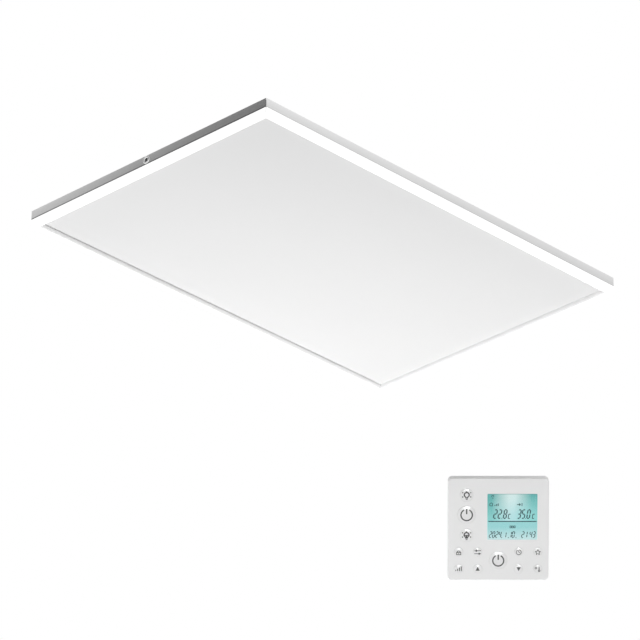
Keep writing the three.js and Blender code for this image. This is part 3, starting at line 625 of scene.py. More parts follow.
def softened(mesh, radius, angle=30.0):
    """Rounds a closed mesh's sharp edges, shades its curves smooth and its large faces flat."""
    helper = as_object("helper", mesh)
    bevel = helper.modifiers.new("soft_edges", "BEVEL")
    bevel.width, bevel.segments = radius, BEVEL_STEPS
    bevel.limit_method, bevel.angle_limit = "ANGLE", math.radians(angle)
    bevel.use_clamp_overlap = True
    done = applied(helper)
    shaded(done, 35)
    helper = as_object("helper", done)
    weigh = helper.modifiers.new("flat_faces", "WEIGHTED_NORMAL")
    weigh.mode, weigh.weight, weigh.keep_sharp = "FACE_AREA", 100, True
    return applied(helper)


def as_mesh(name, edit):
    """Ends an edit with a mesh of that name."""
    mesh = bpy.data.meshes.new(name)
    edit.to_mesh(mesh)
    edit.free()
    return mesh


def clean_copy(node):
    """A solid's mesh with its loose corners merged and its flat faces whole."""
    edit = bmesh.new()
    edit.from_mesh(frame["nodes"][node].data)
    bmesh.ops.remove_doubles(edit, verts=edit.verts, dist=MERGE)
    bmesh.ops.dissolve_limit(
        edit, angle_limit=math.radians(FLAT), verts=edit.verts, edges=edit.edges
    )
    return as_mesh(node, edit)


def dressed(node, material, radius):
    mesh = softened(clean_copy(node), radius)
    piece_from(f"{node}_skin", mesh, material, body_of(node), slot_of(node), node)


SIDES = {"front": "X", "right": "Y", "rear": "X", "left": "Y"}
for side, along in SIDES.items():
    dressed(f"rail_{side}", ALUMINIUM[along], 0.25 * MM)
    dressed(f"light_bar_{side}", OPAL[along], 0.2 * MM)
dressed("face_tray", FACE, 0.3 * MM)
dressed("rear_cover", ZINC, 0.2 * MM)
for hand in ("left", "right"):
    dressed(f"ceiling_rail_{hand}", ZINC, 0.4 * MM)
print("dressed the frame, face, cover and rails")

# %% [markdown]
# ## Pieces that keep their solid
# What lies inside already has its right shape, so it keeps its mesh and gets only a finish in its
# slots.

# %% Inner pieces
INSIDE = {
    "light_strip_front": STRIP, "light_strip_right": STRIP, "light_strip_rear": STRIP,
    "light_strip_left": STRIP, "corner_key_front_left": ZINC, "corner_key_front_right": ZINC,
    "corner_key_rear_left": ZINC, "corner_key_rear_right": ZINC, "heating_film": FILM,
    "reflector_foil": FOIL, "insulation_board": WOOL, "bush_nut": NICKEL, "bay_wall": ZINC,
    "bay_floor": WOOL, "terminal_block": LIGHT, "receiver_module": DARK, "light_driver": LIGHT,
    "earth_stud": NICKEL, "thermal_cutout_1": DARK, "thermal_cutout_2": DARK,
    "heater_lead_live": RED, "heater_lead_neutral": BLACK, "control_board": BOARD,
    "cell_holder": DARK, "coin_cell_1": SCREW_STEEL, "coin_cell_2": SCREW_STEEL,
}


def paint_solid(node, material):
    slots = frame["nodes"][node].data.materials
    slots.clear()
    slots.append(material)


for node, material in INSIDE.items():
    paint_solid(node, material)
print("inner pieces:", len(INSIDE))

# %% [markdown]
# ## The cable bush
# A turned, plated ring with a bore. Its profile is spun round the axis, which is what a lathe does
# to the real one. The ring is round from its bore to its rim, so that it shows two bright
# crescents.

# %% Cable bush
def spun(name, profile, steps=64):
    """Spins (radius, height) points round Z. A profile with both ends on the axis is closed."""
    edit = bmesh.new()
    ring = [edit.verts.new((r, 0, z)) for r, z in profile]
    edges = [edit.edges.new(pair) for pair in zip(ring, ring[1:])]
    bmesh.ops.spin(
        edit, geom=[*ring, *edges], cent=(0, 0, 0), axis=(0, 0, 1), angle=math.tau, steps=steps,
    )
    bmesh.ops.remove_doubles(edit, verts=edit.verts, dist=1e-7)
    bmesh.ops.recalc_face_normals(edit, faces=edit.faces)
    return as_mesh(name, edit)


bush_low, bush_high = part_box("cable_bush")
bush_axis = (bush_low + bush_high) / 2
RING_RADIUS = (bush_high.z - bush_low.z) / 2
BORE_RADIUS = 2.5 * MM
THREAD_RADIUS = 3.8 * MM
PROUD = 1.1 * MM  # the ring's height over the rail
TUBE_END = bush_high.x - bush_low.x - PROUD
RING_STEPS = 14


def turns(first, last, steps):
    """Even steps from one angle to another, in radians."""
    return [math.radians(first + (last - first) * i / steps) for i in range(steps + 1)]


def bush_profile():
    """Half section: up the bore, over the round ring, and back along the thread."""
    middle, half = (RING_RADIUS + BORE_RADIUS) / 2, (RING_RADIUS - BORE_RADIUS) / 2
    start = (BORE_RADIUS, -TUBE_END)
    ring = [
        (middle + half * math.cos(t), PROUD * math.sin(t)) for t in turns(180, 0, RING_STEPS)
    ]
    return [start, *ring, (THREAD_RADIUS, 0), (THREAD_RADIUS, -TUBE_END), start]


bush = spun("cable_bush_skin", bush_profile())
bush.transform(
    Matrix.Translation((bush_low.x + PROUD, bush_axis.y, bush_axis.z))
    @ Matrix.Rotation(math.radians(-90), 4, "Y")
)
shaded(bush, 50)
piece_from("cable_bush_skin", bush, NICKEL, body_of("cable_bush"), "bush_metal", "cable_bush")
print("cable bush: ring", round(2 * RING_RADIUS / MM, 1), "mm")

# %% [markdown]
# ## Screws, by Geometry Nodes
# A screw head repeats all round the cover. The head is modelled once. A node tree puts a copy on
# every point of a helper mesh, turns each a little by a seeded random value, and realises them into
# one mesh.

# %% Screw heads
RIM_SHARE = 0.25  # of the head's height, below its dome
DOME_ROUND = 0.6  # below 1, the dome is fuller than a round one
RECESS_SHARE, RECESS_AT = 0.24, 0.95  # a recess's width over its length, and its middle's height


def carved(mesh, cutters):
    """Subtracts closed meshes from a closed mesh."""
    helper = as_object("carved", mesh)
    tools = [as_object("tool", c) for c in cutters]
    for tool in tools:
        cut = helper.modifiers.new("cut", "BOOLEAN")
        cut.operation, cut.object, cut.solver = "DIFFERENCE", tool, "EXACT"
    bpy.context.view_layer.update()
    done = applied(helper)
    for tool in tools:
        bpy.data.objects.remove(tool)
    return done


def screw_head(radius, height, recess):
    """Pan head with a cross recess, its seat at height 0."""
    dome = [
        (radius * math.cos(t) ** DOME_ROUND, height * (RIM_SHARE + (1 - RIM_SHARE) * math.sin(t)))
        for t in turns(0, 90, 6)
    ]
    slots = []
    for turn in (0, 90):
        edit = bmesh.new()
        bmesh.ops.create_cube(edit, size=1.0)
        bmesh.ops.scale(edit, vec=(recess, recess * RECESS_SHARE, height), verts=edit.verts)
        about = Matrix.Rotation(math.radians(turn), 3, "Z")
        bmesh.ops.rotate(edit, matrix=about, verts=edit.verts)
        bmesh.ops.translate(edit, vec=(0, 0, height * RECESS_AT), verts=edit.verts)
        slots.append(as_mesh("slot", edit))
    done = carved(spun("screw_head", [(0, 0), (radius, 0), *dome], steps=28), slots)
    shaded(done, 40)
    return done


head = as_object("screw_head", screw_head(radius=3.0 * MM, height=2.0 * MM, recess=3.2 * MM))
print("screw head:", len(head.data.polygons), "faces")

# %% [markdown]
# The tree has two inputs of its own, `Spin` and `Size`. They are set by the sockets' identifiers
# before the helper is first evaluated. The result is made a plain mesh, and the helper goes.

# %% Screws
SEED = 7


def scattering(head, material):
    """A tree that places `head` on each point of a mesh, each with a turn of its own."""
    tree = bpy.data.node_groups.new("screws", "GeometryNodeTree")
    tree.interface.new_socket("Geometry", in_out="INPUT", socket_type="NodeSocketGeometry")
    for name in ("Spin", "Size"):
        tree.interface.new_socket(name, in_out="INPUT", socket_type="NodeSocketFloat")
    tree.interface.new_socket("Geometry", in_out="OUTPUT", socket_type="NodeSocketGeometry")
    add, link = tree.nodes.new, tree.links.new
    start, end = add("NodeGroupInput"), add("NodeGroupOutput")
    copies, one = add("GeometryNodeInstanceOnPoints"), add("GeometryNodeObjectInfo")
    one.inputs["Object"].default_value = head
    link(start.outputs["Geometry"], copies.inputs["Points"])
    link(one.outputs["Geometry"], copies.inputs["Instance"])
    turn = add("FunctionNodeRandomValue")
    turn.inputs["Seed"].default_value = SEED
    link(start.outputs["Spin"], turn.inputs[3])
    about = add("ShaderNodeCombineXYZ")
    link(turn.outputs[1], about.inputs["Z"])
    link(about.outputs[0], copies.inputs["Rotation"])
    link(start.outputs["Size"], copies.inputs["Scale"])
    real, paint = add("GeometryNodeRealizeInstances"), add("GeometryNodeSetMaterial")
    paint.inputs["Material"].default_value = material
    link(copies.outputs[0], real.inputs[0])
    link(real.outputs[0], paint.inputs["Geometry"])
    link(paint.outputs[0], end.inputs[0])
    return tree


def placed(name, tree, points, height, size):
    """Runs the tree on bare points, and gives the plain mesh at that height."""
    cloud = bpy.data.meshes.new(name)
    cloud.from_pydata([tuple(p) for p in points], [], [])
    helper = as_object(name, cloud)
    nodes_on = helper.modifiers.new("scatter", "NODES")
    nodes_on.node_group = tree
    inputs = {"Spin": math.tau, "Size": size}
    for item in tree.interface.items_tree:
        if item.in_out == "INPUT" and item.name in inputs:
            nodes_on[item.identifier] = inputs[item.name]
    mesh = applied(helper)
    mesh.transform(Matrix.Translation((0, 0, height)))
    return mesh


SCREWS = scattering(head, SCREW_STEEL)
SCREW_INSET = 12.5 * MM  # from the panel's outside to the screws' line
SCREW_PITCH = 96 * MM
SEAT = 0.1 * MM  # a head sinks this far into what it sits on
COVER_TOP = rail_high.z - SEAT


def along_edges(half_x, half_y, pitch):
    """Points round a rectangle, evenly spaced on each side, none at the corners."""
    points = []
    for half, other, swap in ((half_x, half_y, False), (half_y, half_x, True)):
        count = max(2, round(2 * half / pitch))
        for i in range(count):
            at = -half + (i + 0.5) * 2 * half / count
            for across in (-other, other):
                points.append((across, at, 0) if swap else (at, across, 0))
    return points


def screwed_down(name, points, height, size=1.0):
    mesh = placed(name, SCREWS, points, height, size)
    piece_from(name, mesh, SCREW_STEEL, body_of("rear_cover"), "bush_metal")
    print(f"{name}:", len(points))


outer_x, outer_y = -solid_box[0].x - PROUD, -rail_low.y
cover_points = along_edges(outer_x - SCREW_INSET, outer_y - SCREW_INSET, SCREW_PITCH)
screwed_down("cover_screws", cover_points, COVER_TOP)

FOOT_RISE = 1.5 * MM  # the thickness of a ceiling rail's foot
FOOT_EDGE, FOOT_END = 7 * MM, 20 * MM  # from a foot's long edge and from its ends
FOOT_SCREW = 1.15  # size over a cover screw's
foot_points = []
for hand in ("left", "right"):
    low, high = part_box(f"ceiling_rail_{hand}")
    for x in (low.x + FOOT_EDGE, high.x - FOOT_EDGE):
        foot_points += [(x, y, 0) for y in (low.y + FOOT_END, 0, high.y - FOOT_END)]
screwed_down("rail_screws", foot_points, COVER_TOP + FOOT_RISE, FOOT_SCREW)

# %% [markdown]
# ## The controller's own axes
# The controller stands turned and leaning, so its details are easier to place in axes of its own.
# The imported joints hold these: its keys press straight in, and its battery door slides straight
# down.

# %% Controller axes
joints = {j["name"]: j for j in frame["joints"]}
OUT = -Vector(joints["key_power_press"]["axis"]).normalized()
UP = -Vector(joints["battery_door_slide"]["axis"]).normalized()
ACROSS = UP.cross(OUT)
FRONT_DEPTH = 11 * MM  # of the front shell
front_low, front_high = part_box("control_front")
face_centre = (front_low + front_high) / 2 + OUT * FRONT_DEPTH / 2
CONTROL = Matrix.Translation(face_centre) @ Matrix((ACROSS, UP, OUT)).transposed().to_4x4()
TO_CONTROL = CONTROL.inverted()


def local_box(node):
    """A node's box in the controller's axes."""
    points = [TO_CONTROL @ v.co for v in frame["nodes"][node].data.vertices]
    return (
        Vector([min(p[i] for p in points) for i in range(3)]),
        Vector([max(p[i] for p in points) for i in range(3)]),
    )


shell_low, shell_high = local_box("control_front")
WIDE, TALL = shell_high.x - shell_low.x, shell_high.y - shell_low.y
print("controller:", round(WIDE / MM, 1), "by", round(TALL / MM, 1), "mm")

# %% [markdown]
# In the picture the controller's upper edge is darker than its front. A photographer shades such an
# edge with a small black flag held above it, out of the picture, and so does this scene.

# %% Flag above the controller
FLAG_GAP, FLAG_ASIDE = 85 * MM, -20 * MM  # its place over the controller's upper edge
FLAG_WIDE, FLAG_DEEP = 150 * MM, 80 * MM

flag_look = Finish("black_flag").set(Base_Color=gray(40), Roughness=0.9)
flag_corners = [
    CONTROL @ Vector((
        FLAG_ASIDE + a * FLAG_WIDE / 2, shell_high.y + FLAG_GAP, b * FLAG_DEEP / 2 - FRONT_DEPTH
    ))
    for a, b in SQUARE
]
staged_plane("edge_flag", flag_corners, flag_look.material).visible_camera = False
print("flag:", round(FLAG_GAP / MM), "mm above the controller")

# %% [markdown]
# ## The front shell
# A moulded tray with a window and twelve round holes. Its outline is extruded, its front edge
# rounded, and the inside, the window and the holes are cut out by booleans. A last small bevel
# rounds the rims of the holes.

# %% Front shell
KEYS = sorted(n for n in frame["nodes"] if n.startswith("key_"))
WALL = 1.8 * MM
CORNER = 5 * MM  # radius of the outline's corners
FRONT_EDGE = 0.8 * MM  # radius of the front's edge
HOLE_EDGE = 0.12 * MM  # radius of the holes' rims
HOLE_GAP = 0.12 * MM
KEY_FLANGE = 1.0 * MM


def rounded_outline(width, height, radius, steps=10):
    points = []
    for cx, cy, start in ((1, 1, 0), (-1, 1, 90), (-1, -1, 180), (1, -1, 270)):
        for i in range(steps + 1):
            turn = math.radians(start + 90 * i / steps)
            points.append((
                cx * (width / 2 - radius) + radius * math.cos(turn),
                cy * (height / 2 - radius) + radius * math.sin(turn),
            ))
    return points


def prism(outline, low, high, at=(0, 0)):
    """A closed mesh from an outline and two heights."""
    edit = bmesh.new()
    ring = [edit.verts.new((x + at[0], y + at[1], low)) for x, y in outline]
    bottom = edit.faces.new(ring)
    made = bmesh.ops.extrude_face_region(edit, geom=[bottom])["geom"]
    top = [v for v in made if isinstance(v, bmesh.types.BMVert)]
    bmesh.ops.translate(edit, vec=(0, 0, high - low), verts=top)
    bmesh.ops.recalc_face_normals(edit, faces=edit.faces)
    return as_mesh("prism", edit)


def circle(radius, steps=56):
    return [
        (radius * math.cos(math.tau * i / steps), radius * math.sin(math.tau * i / steps))
        for i in range(steps)
    ]


def front_edge_rounded(mesh, height, radius):
    """Bevels only the loop of edges at one height."""
    edit = bmesh.new()
    edit.from_mesh(mesh)
    loop = [
        e for e in edit.edges
        if all(abs(v.co.z - height) < 1e-6 for v in e.verts) and len(e.link_faces) == 2
        and any(abs(f.normal.z) < 0.5 for f in e.link_faces)
    ]
    bmesh.ops.bevel(edit, geom=loop, offset=radius, segments=5, profile=0.5, affect="EDGES")
    return as_mesh("rounded", edit)


def key_place(node):
    """The middle of a key in the controller's axes, and the radius of its cap."""
    low, high = local_box(node)
    middle = (low + high) / 2
    return middle.x, middle.y, (high.x - low.x) / 2 - KEY_FLANGE


window_low, window_high = local_box("display_window")
WINDOW_GAP = 0.3 * MM
window_at = ((window_low.x + window_high.x) / 2, (window_low.y + window_high.y) / 2)
window_size = [window_high[i] - window_low[i] + 2 * WINDOW_GAP for i in range(2)]


def front_shell():
    outer = front_edge_rounded(
        prism(rounded_outline(WIDE, TALL, CORNER), -FRONT_DEPTH, 0), 0, FRONT_EDGE
    )
    inner = prism(
        rounded_outline(WIDE - 2 * WALL, TALL - 2 * WALL, CORNER - WALL), -2 * FRONT_DEPTH, -WALL
    )
    window = prism(rounded_outline(*window_size, MM, 5), -2 * WALL, WALL, window_at)
    cutters = [inner, window]
    for node in KEYS:
        x, y, radius = key_place(node)
        cutters.append(prism(circle(radius + HOLE_GAP), -2 * WALL, WALL, (x, y)))
    return softened(carved(outer, cutters), HOLE_EDGE, angle=50.0)


def controller_piece(name, mesh, material, body, slot, *stands_for):
    """Turns a mesh in the controller's axes into a piece of the object."""
    mesh.transform(CONTROL)
    piece_from(name, mesh, material, body, slot, *stands_for)


control_body = body_of("control_front")
controller_piece(
    "control_front_skin", front_shell(), SHELL, control_body, "control_shell", "control_front"
)
dressed("control_rear", SHELL, 0.3 * MM)
dressed("battery_door", SHELL, 0.25 * MM)
print("shells: window", [round(side / MM, 1) for side in window_size], "mm")

# %% [markdown]
# ## Keys
# Each key is a low pillow, flat in the middle and steeper towards its rim, so that only its upper
# slope catches the lamp. The small keys are a little rounder. The half section is spun like the
# bush. It keeps the solid's flange, and travels as its solid does.

# %% Keys
RIM = 0.1 * MM  # a key's edge above the face
SMALL_KEY = 6 * MM  # keys below this radius are small
SMALL_DOME, LARGE_DOME = (0.1, 2.2), (0.07, 2.7)  # rise over radius, and power of the curve
LIP = 0.12 * MM  # radius of a cap's edge
FLANGE_TOP, FLANGE_LOW = -WALL - 0.3 * MM, -WALL - 1.6 * MM
CAP_STEPS = 14


def dome_height(radius, r):
    """Height of a key's surface above the face: flat in the middle, steeper to the rim."""
    rise, power = SMALL_DOME if radius < SMALL_KEY else LARGE_DOME
    return RIM + rise * radius * (1 - min(1.0, r / radius) ** power)


def key_mesh(radius):
    """A key on the axis: its flange below, then the lip and the dome up to the middle."""
    outer, edge = radius + KEY_FLANGE, radius - LIP
    lip_low = dome_height(radius, edge) - LIP
    profile = [(0, FLANGE_LOW), (outer, FLANGE_LOW), (outer, FLANGE_TOP), (radius, FLANGE_TOP)]
    for t in turns(0, 90, 4):
        profile.append((edge + LIP * math.cos(t), lip_low + LIP * math.sin(t)))
    for i in range(1, CAP_STEPS + 1):
        r = edge * (1 - i / CAP_STEPS)
        profile.append((r, dome_height(radius, r)))
    mesh = spun("key", profile, 72)
    shaded(mesh, 50)
    return mesh


for node in KEYS:
    x, y, radius = key_place(node)
    mesh = key_mesh(radius)
    mesh.transform(Matrix.Translation((x, y, 0)))
    controller_piece(f"{node}_cap", mesh, CAP, node, "control_key", node)
print("keys:", len(KEYS))

# %% [markdown]
# ## Printed marks
# The keys carry pictures only: bulb, ring, padlock, sliders, clock, star, bars, arrows, and a
# thermometer with a degree ring. Each is drawn flat, in millimetres from the key's middle, from
# straight and bent strokes.

# %% Strokes
def bar(x0, y0, x1, y1, width):
    """A straight stroke as a four-sided outline."""
    run = Vector((x1 - x0, y1 - y0))
    side = Vector((-run.y, run.x)).normalized() * width / 2
    return [(x0 + side.x, y0 + side.y), (x0 - side.x, y0 - side.y),
            (x1 - side.x, y1 - side.y), (x1 + side.x, y1 + side.y)]


def arc(cx, cy, radius, start, end, width, steps=24):
    """A bent stroke as short bars that share their ends."""
    angles = turns(start, end, steps)
    inner, outer = radius - width / 2, radius + width / 2
    strokes = []
    for pair in zip(angles, angles[1:]):
        reaches = zip((outer, inner, inner, outer), (pair[0], pair[0], pair[1], pair[1]))
        strokes.append([(cx + r * math.cos(t), cy + r * math.sin(t)) for r, t in reaches])
    return strokes


def joined(points, width):
    """Straight strokes from each point to the next."""
    return [bar(*a, *b, width) for a, b in zip(points, points[1:])]


print("a ring of strokes:", len(arc(0, 0, 1, 0, 360, 0.1)), "bars")

# %% [markdown]
# Each function below draws one mark, a sign of its key's job. The strokes are as thick as such
# prints really are, so that they look as dark from afar.

# %% Marks
def ring_mark(radius):
    return [*arc(0, 0, radius, 118, 422, 1.6, 56), bar(0, 1.0, 0, radius + 1.1, 1.7)]


def bulb_mark(filled):
    """Bulb outline on a solid collar and a base line, with five rays; or with a full neck."""
    strokes = arc(0, 0.5, 2.9, -42, 222, 1.6, 32)
    strokes += [bar(-1.7, -1.2, -1.0, -3.4, 1.3), bar(1.7, -1.2, 1.0, -3.4, 1.3),
                bar(-1.6, -3.2, 1.6, -3.2, 1.5), bar(-1.2, -5.1, 1.2, -5.1, 0.9)]
    if filled:
        strokes += [bar(-2.4, 0.2, 2.4, 0.2, 1.1), bar(0, -2.6, 0, 0.0, 1.9)]
    for up, lift in ((3.2, 0.4), (-2.0, -0.4)):
        strokes += [bar(side * 4.214, up - lift, side * 5.39, up + lift, 1.4) for side in (-1, 1)]
    return [*strokes, bar(0, 4.3, 0, 5.4, 0.9)]


def padlock_mark():
    body = [bar(-2.9, y, 2.9, y, 0.85) for y in (-0.7, -3.3)]
    body += [bar(x, -0.7, x, -3.3, 0.85) for x in (-2.5, 2.5)]
    return [*body, bar(0, -1.5, 0, -2.5, 0.8), *arc(0, -0.5, 1.8, 0, 180, 0.85)]


def sliders_mark():
    strokes = []
    for y, knob in ((1.4, -1.7), (-2.2, 1.7)):
        strokes += [bar(-4.0, y, 4.0, y, 0.9), bar(knob - 0.8, y, knob + 0.8, y, 2.5)]
    return strokes


def clock_mark():
    strokes = arc(0, -0.4, 2.9, 0, 360, 0.85, 40)
    return [*strokes, bar(0, -0.4, 0, 1.5, 0.8), bar(0, -0.4, 1.4, -1.0, 0.8)]


def star_mark():
    """Outline of a five-pointed star, for a stored setting."""
    reaches = [3.4, 1.5] * 5 + [3.4]
    points = [
        (r * math.cos(t), r * math.sin(t) - 0.5) for r, t in zip(reaches, turns(90, 450, 10))
    ]
    return joined(points, 0.75)


def bars_mark():
    tops = ((-3.3, -1.0), (-1.1, 0.3), (1.1, 1.6), (3.3, 2.9))
    return [bar(x, -2.6, x, top, 1.1) for x, top in tops]


def unit_mark():
    """A degree ring beside a thermometer, for the change of temperature unit."""
    return [*arc(-2.2, 1.0, 1.0, 0, 360, 0.8, 20), bar(1.6, -1.4, 1.6, 2.2, 1.0),
            *arc(1.6, -2.2, 0.95, 0, 360, 0.9, 16)]


def arrow_mark(way):
    return [[(-2.6, -2.2 * way), (2.6, -2.2 * way), (0, 2.7 * way)][::way]]


MARKS = {
    "key_light_on": bulb_mark(False), "key_light_off": bulb_mark(True),
    "key_mode": ring_mark(6.75), "key_power": ring_mark(6.5), "key_lock": padlock_mark(),
    "key_program": sliders_mark(), "key_timer": clock_mark(), "key_night": star_mark(),
    "key_menu": bars_mark(), "key_up": arrow_mark(1), "key_down": arrow_mark(-1),
    "key_degree": unit_mark(),
}
print("marks drawn:", len(MARKS))

# %% [markdown]
# A mark is a thin print that follows its key's dome. The flat strokes are split until they are fine
# enough to bend, given a thickness, and laid on the surface.

# %% Prints
PRINT_DEPTH = 0.04 * MM
BEND_STEP = 0.8 * MM  # longest edge of a print that bends


def printed(strokes, height_at, depth, bends):
    """Closed thin slabs from flat outlines in millimetres, laid at a surface's height."""
    edit = bmesh.new()
    for stroke in strokes:
        edit.faces.new([edit.verts.new((x * MM, y * MM, 0)) for x, y in stroke])
    bmesh.ops.recalc_face_normals(edit, faces=edit.faces)
    for face in edit.faces:
        if face.normal.z < 0:
            face.normal_flip()
    long_edges = [e for e in edit.edges if e.calc_length() > BEND_STEP] if bends else []
    if long_edges:
        bmesh.ops.triangulate(edit, faces=edit.faces)
        for _ in range(3):
            long_edges = [e for e in edit.edges if e.calc_length() > BEND_STEP]
            if not long_edges:
                break
            bmesh.ops.subdivide_edges(edit, edges=long_edges, cuts=1)
            bmesh.ops.triangulate(edit, faces=edit.faces)
    made = bmesh.ops.extrude_face_region(edit, geom=list(edit.faces))["geom"]
    raised = {v for v in made if isinstance(v, bmesh.types.BMVert)}
    for v in edit.verts:
        v.co.z = height_at(v.co.x, v.co.y) + (depth if v in raised else -depth)
    bmesh.ops.recalc_face_normals(edit, faces=edit.faces)
    return as_mesh("print", edit)


for node in KEYS:
    x, y, radius = key_place(node)
    mesh = printed(
        MARKS[node], lambda px, py: dome_height(radius, math.hypot(px, py)), PRINT_DEPTH, True
    )
    mesh.transform(Matrix.Translation((x, y, 0)))
    controller_piece(f"{node}_mark", mesh, PRINT, node, "control_key")
print("marks laid on keys:", len(MARKS))

# %% [markdown]
# ## The display
# Behind the pane lies a backlit liquid crystal. Its light is uneven: pale in a column from the top,
# deeper at the upper corners. The display stands turned, so a Mapping node turns the pattern with
# it. Its axes then run from -1 to 1 over the window.

# %% Display glow
DIVIDER = -0.2  # height of the line across the display, from -1 to 1
COLUMN_AT = -0.03  # middle of the pale column
GLASS_GLOW = 1.1


def display_finish():
    f = Finish("display_glow")
    turned = f.add(
        "ShaderNodeMapping",
        {"Vector": f.place(), "Location": tuple(CONTROL.translation),
         "Rotation": tuple(CONTROL.to_euler("XYZ"))},
        vector_type="TEXTURE",
    )
    x, y, _ = f.axes(turned)
    aside = (x - window_at[0]) * (2 / window_size[0])
    across = abs(aside - COLUMN_AT)
    upward = (y - window_at[1]) * (2 / window_size[1])
    left_top, right_top = f.span(upward, -0.35, 0.8), f.span(upward, 0.1, 0.95)
    top = left_top + (right_top - left_top) * f.span(aside, -0.3, 0.3)
    side = f.blend(top, color(134, 210, 207), color(56, 164, 160))
    middle = f.blend(top, color(172, 222, 225), color(212, 234, 232))
    ripple = f.noise(turned, 60.0, detail=1.0) * 0.16
    upper = f.blend(1 - f.span(across, 0.06, 0.8) + ripple, side, middle)
    lower = f.blend(f.span(upward, -0.45, -1.0), color(147, 210, 211), color(200, 230, 232))
    lit = f.blend(f.span(upward, DIVIDER, DIVIDER - 0.05), upper, lower)
    # painted shade: a thin darker band along the window's upper edge
    lit = f.blend(f.span(upward, 0.93, 0.98) * 0.5, lit, color(40, 120, 120))
    f.set(
        Base_Color=(0.02, 0.03, 0.03), Roughness=0.4,
        Emission_Color=lit, Emission_Strength=GLASS_GLOW,
    )
    return f.material


paint_solid("display_module", display_finish())


def pane_finish():
    """Clear pane: almost all light passes, and a smooth coat keeps its gloss."""
    f = Finish("display_pane")
    smudge = f.noise(f.place(), 40.0)
    f.set(
        Base_Color=(0.06, 0.1, 0.1),
        Roughness=f.span(smudge, 0.3, 0.7, 0.06, 0.12),
        Alpha=0.1,
    )
    return f.material


dressed("display_window", pane_finish(), 0.2 * MM)
print("display: divider at", DIVIDER, "of its half height")

# %% [markdown]
# Digits on such a display are made of seven strokes and lean a little. A table says which strokes
# each digit lights, and where they run.

# %% Digits
SEGMENTS = {
    "0": "abcdef", "1": "bc", "2": "abged", "3": "abgcd", "4": "fgbc", "5": "afgcd",
    "6": "afgedc", "7": "abc", "8": "abcdefg", "9": "abcdfg",
}
LEAN = 0.16


def leaned(points, x, y):
    return [(x + px + LEAN * py, y + py) for px, py in points]


def digit(value, x, y, height, width, stroke):
    """Seven-stroke digit with its lower left corner at (x, y)."""
    gap, half = stroke * 0.35, height / 2
    lines = {
        "a": (gap, height, width - gap, height),
        "b": (width, half + gap, width, height - gap),
        "c": (width, gap, width, half - gap),
        "d": (gap, 0, width - gap, 0),
        "e": (0, gap, 0, half - gap),
        "f": (0, half + gap, 0, height - gap),
        "g": (gap, half, width - gap, half),
    }
    return [leaned(bar(*lines[name], stroke), x, y) for name in SEGMENTS[value]]


def number(text, x, y, height, width, stroke, pitch):
    """A row of digits. A point takes a narrow place of its own, and a space half a digit's."""
    strokes = []
    for sign in text:
        if sign in SEGMENTS:
            strokes += digit(sign, x, y, height, width, stroke)
            x += pitch
        elif sign == " ":
            x += pitch / 2
        else:
            left, middle, across = x - (pitch - width) / 2, y - stroke / 4, stroke * 0.8
            strokes.append(bar(left, middle, left + across, middle, stroke / 2))
            x += across
    return strokes


print("digits:", len(SEGMENTS))

# %% [markdown]
# The display shows the room's temperature and the set one, and below a line the date and the time.
# Small signs go with them. All places are in millimetres, to the right of and below the window's
# upper left corner, so that the whole picture is a few tables and moves with the window.

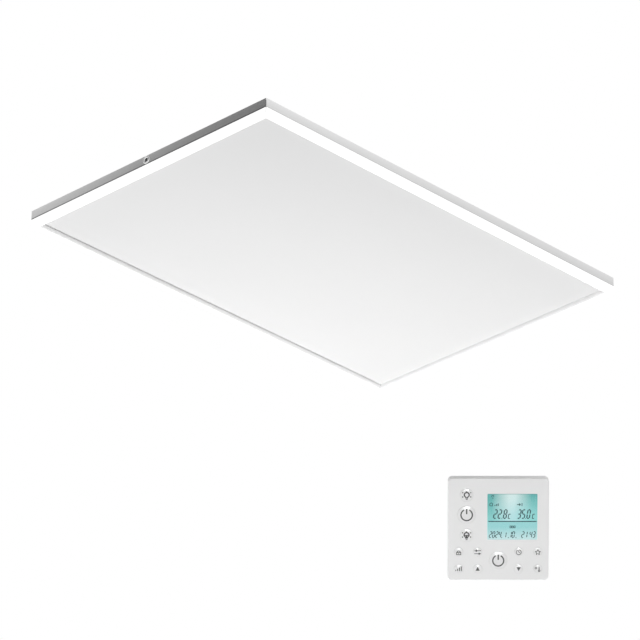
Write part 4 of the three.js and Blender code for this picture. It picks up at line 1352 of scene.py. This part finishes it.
# %% Display marks
INK = moulded("display_ink", color(10, 62, 68), color(18, 74, 80), 0.5)
INK_DEPTH, INK_RISE = 0.05 * MM, 0.06 * MM  # half its thickness, and its height over the glass
NUMBERS = (  # text, place, and the digits' height, width, stroke and pitch
    ("22.8", 7.2, 29.8, 10.2, 3.2, 1.4, 5.3), ("35.0", 35.7, 29.8, 10.2, 3.1, 1.4, 5.0),
    ("2024", 2.2, 53.1, 7.2, 2.3, 1.0, 3.75), ("1", 19.6, 53.1, 6.4, 2.2, 1.0, 4.4),
    ("10", 25.6, 53.1, 7.2, 2.4, 1.0, 3.7), ("21 43", 40.6, 53.1, 7.2, 2.4, 1.0, 3.8),
)
UNIT_SIGNS = (24.7, 53.4)  # open signs of the Celsius scale, beside the temperatures
DATE_POINTS = (16.5, 24.5, 33.6)
DAY_BOXES = (26.9, 29.3, 31.7)
BARS = (  # from and to, and the width
    (1.2, 33.6, 58.6, 33.6, 1.2),  # the line across
    (2.6, 14.8, 6.4, 14.8, 0.7), (2.9, 14.8, 2.9, 12.6, 0.7), (6.1, 14.8, 6.1, 12.6, 0.7),  # house
    (2.2, 12.8, 4.5, 11.0, 0.7), (4.5, 11.0, 6.8, 12.8, 0.7),  # its roof
    (9.0, 14.9, 9.0, 13.6, 1.1), (10.9, 14.9, 10.9, 12.7, 1.1), (12.8, 14.9, 12.8, 11.8, 1.1),
    (35.2, 13.2, 39.0, 13.2, 0.9), (37.8, 11.8, 39.4, 13.2, 0.8),  # arrow
    (37.8, 14.6, 39.4, 13.2, 0.8), (41.2, 11.4, 41.2, 15.0, 0.9),  # and its stop
    (5.6, 5.5, 7.2, 5.5, 0.7),  # foot of the lamp
)


def display_marks():
    left = (window_at[0] - window_size[0] / 2) / MM
    top = (window_at[1] + window_size[1] / 2) / MM
    strokes = arc(left + 6.4, top - 3.4, 1.3, -40, 220, 0.7, 14)  # lamp
    for text, x, down, *sizes in NUMBERS:
        strokes += number(text, left + x, top - down, *sizes)
    for x in UNIT_SIGNS:
        corners = [(2.2, 5.2), (0, 5.2), (0, 0), (2.2, 0)]
        strokes += joined(leaned(corners, left + x, top - 30.0), 0.9)
    for x in DATE_POINTS:
        strokes.append(bar(left + x, top - 53.1, left + x + 1.2, top - 53.1, 0.9))
    for x in DAY_BOXES:
        corners = [(0, 0), (1.5, 0), (1.5, 2.4), (0, 2.4), (0, 0)]
        strokes += joined([(left + x + px, top - 41.4 + py) for px, py in corners], 0.75)
    for x0, down0, x1, down1, width in BARS:
        strokes.append(bar(left + x0, top - down0, left + x1, top - down1, width))
    return strokes


module_top = local_box("display_module")[1].z
digits = printed(display_marks(), lambda x, y: module_top + INK_RISE, INK_DEPTH, False)
controller_piece("display_digits", digits, INK, control_body, "display")
print("display strokes:", len(display_marks()))

# %% [markdown]
# ## Tidying up
# The last cell removes the screw head that the tree copied onto the cover.

# %% Removing the model screw head
bpy.data.objects.remove(head)
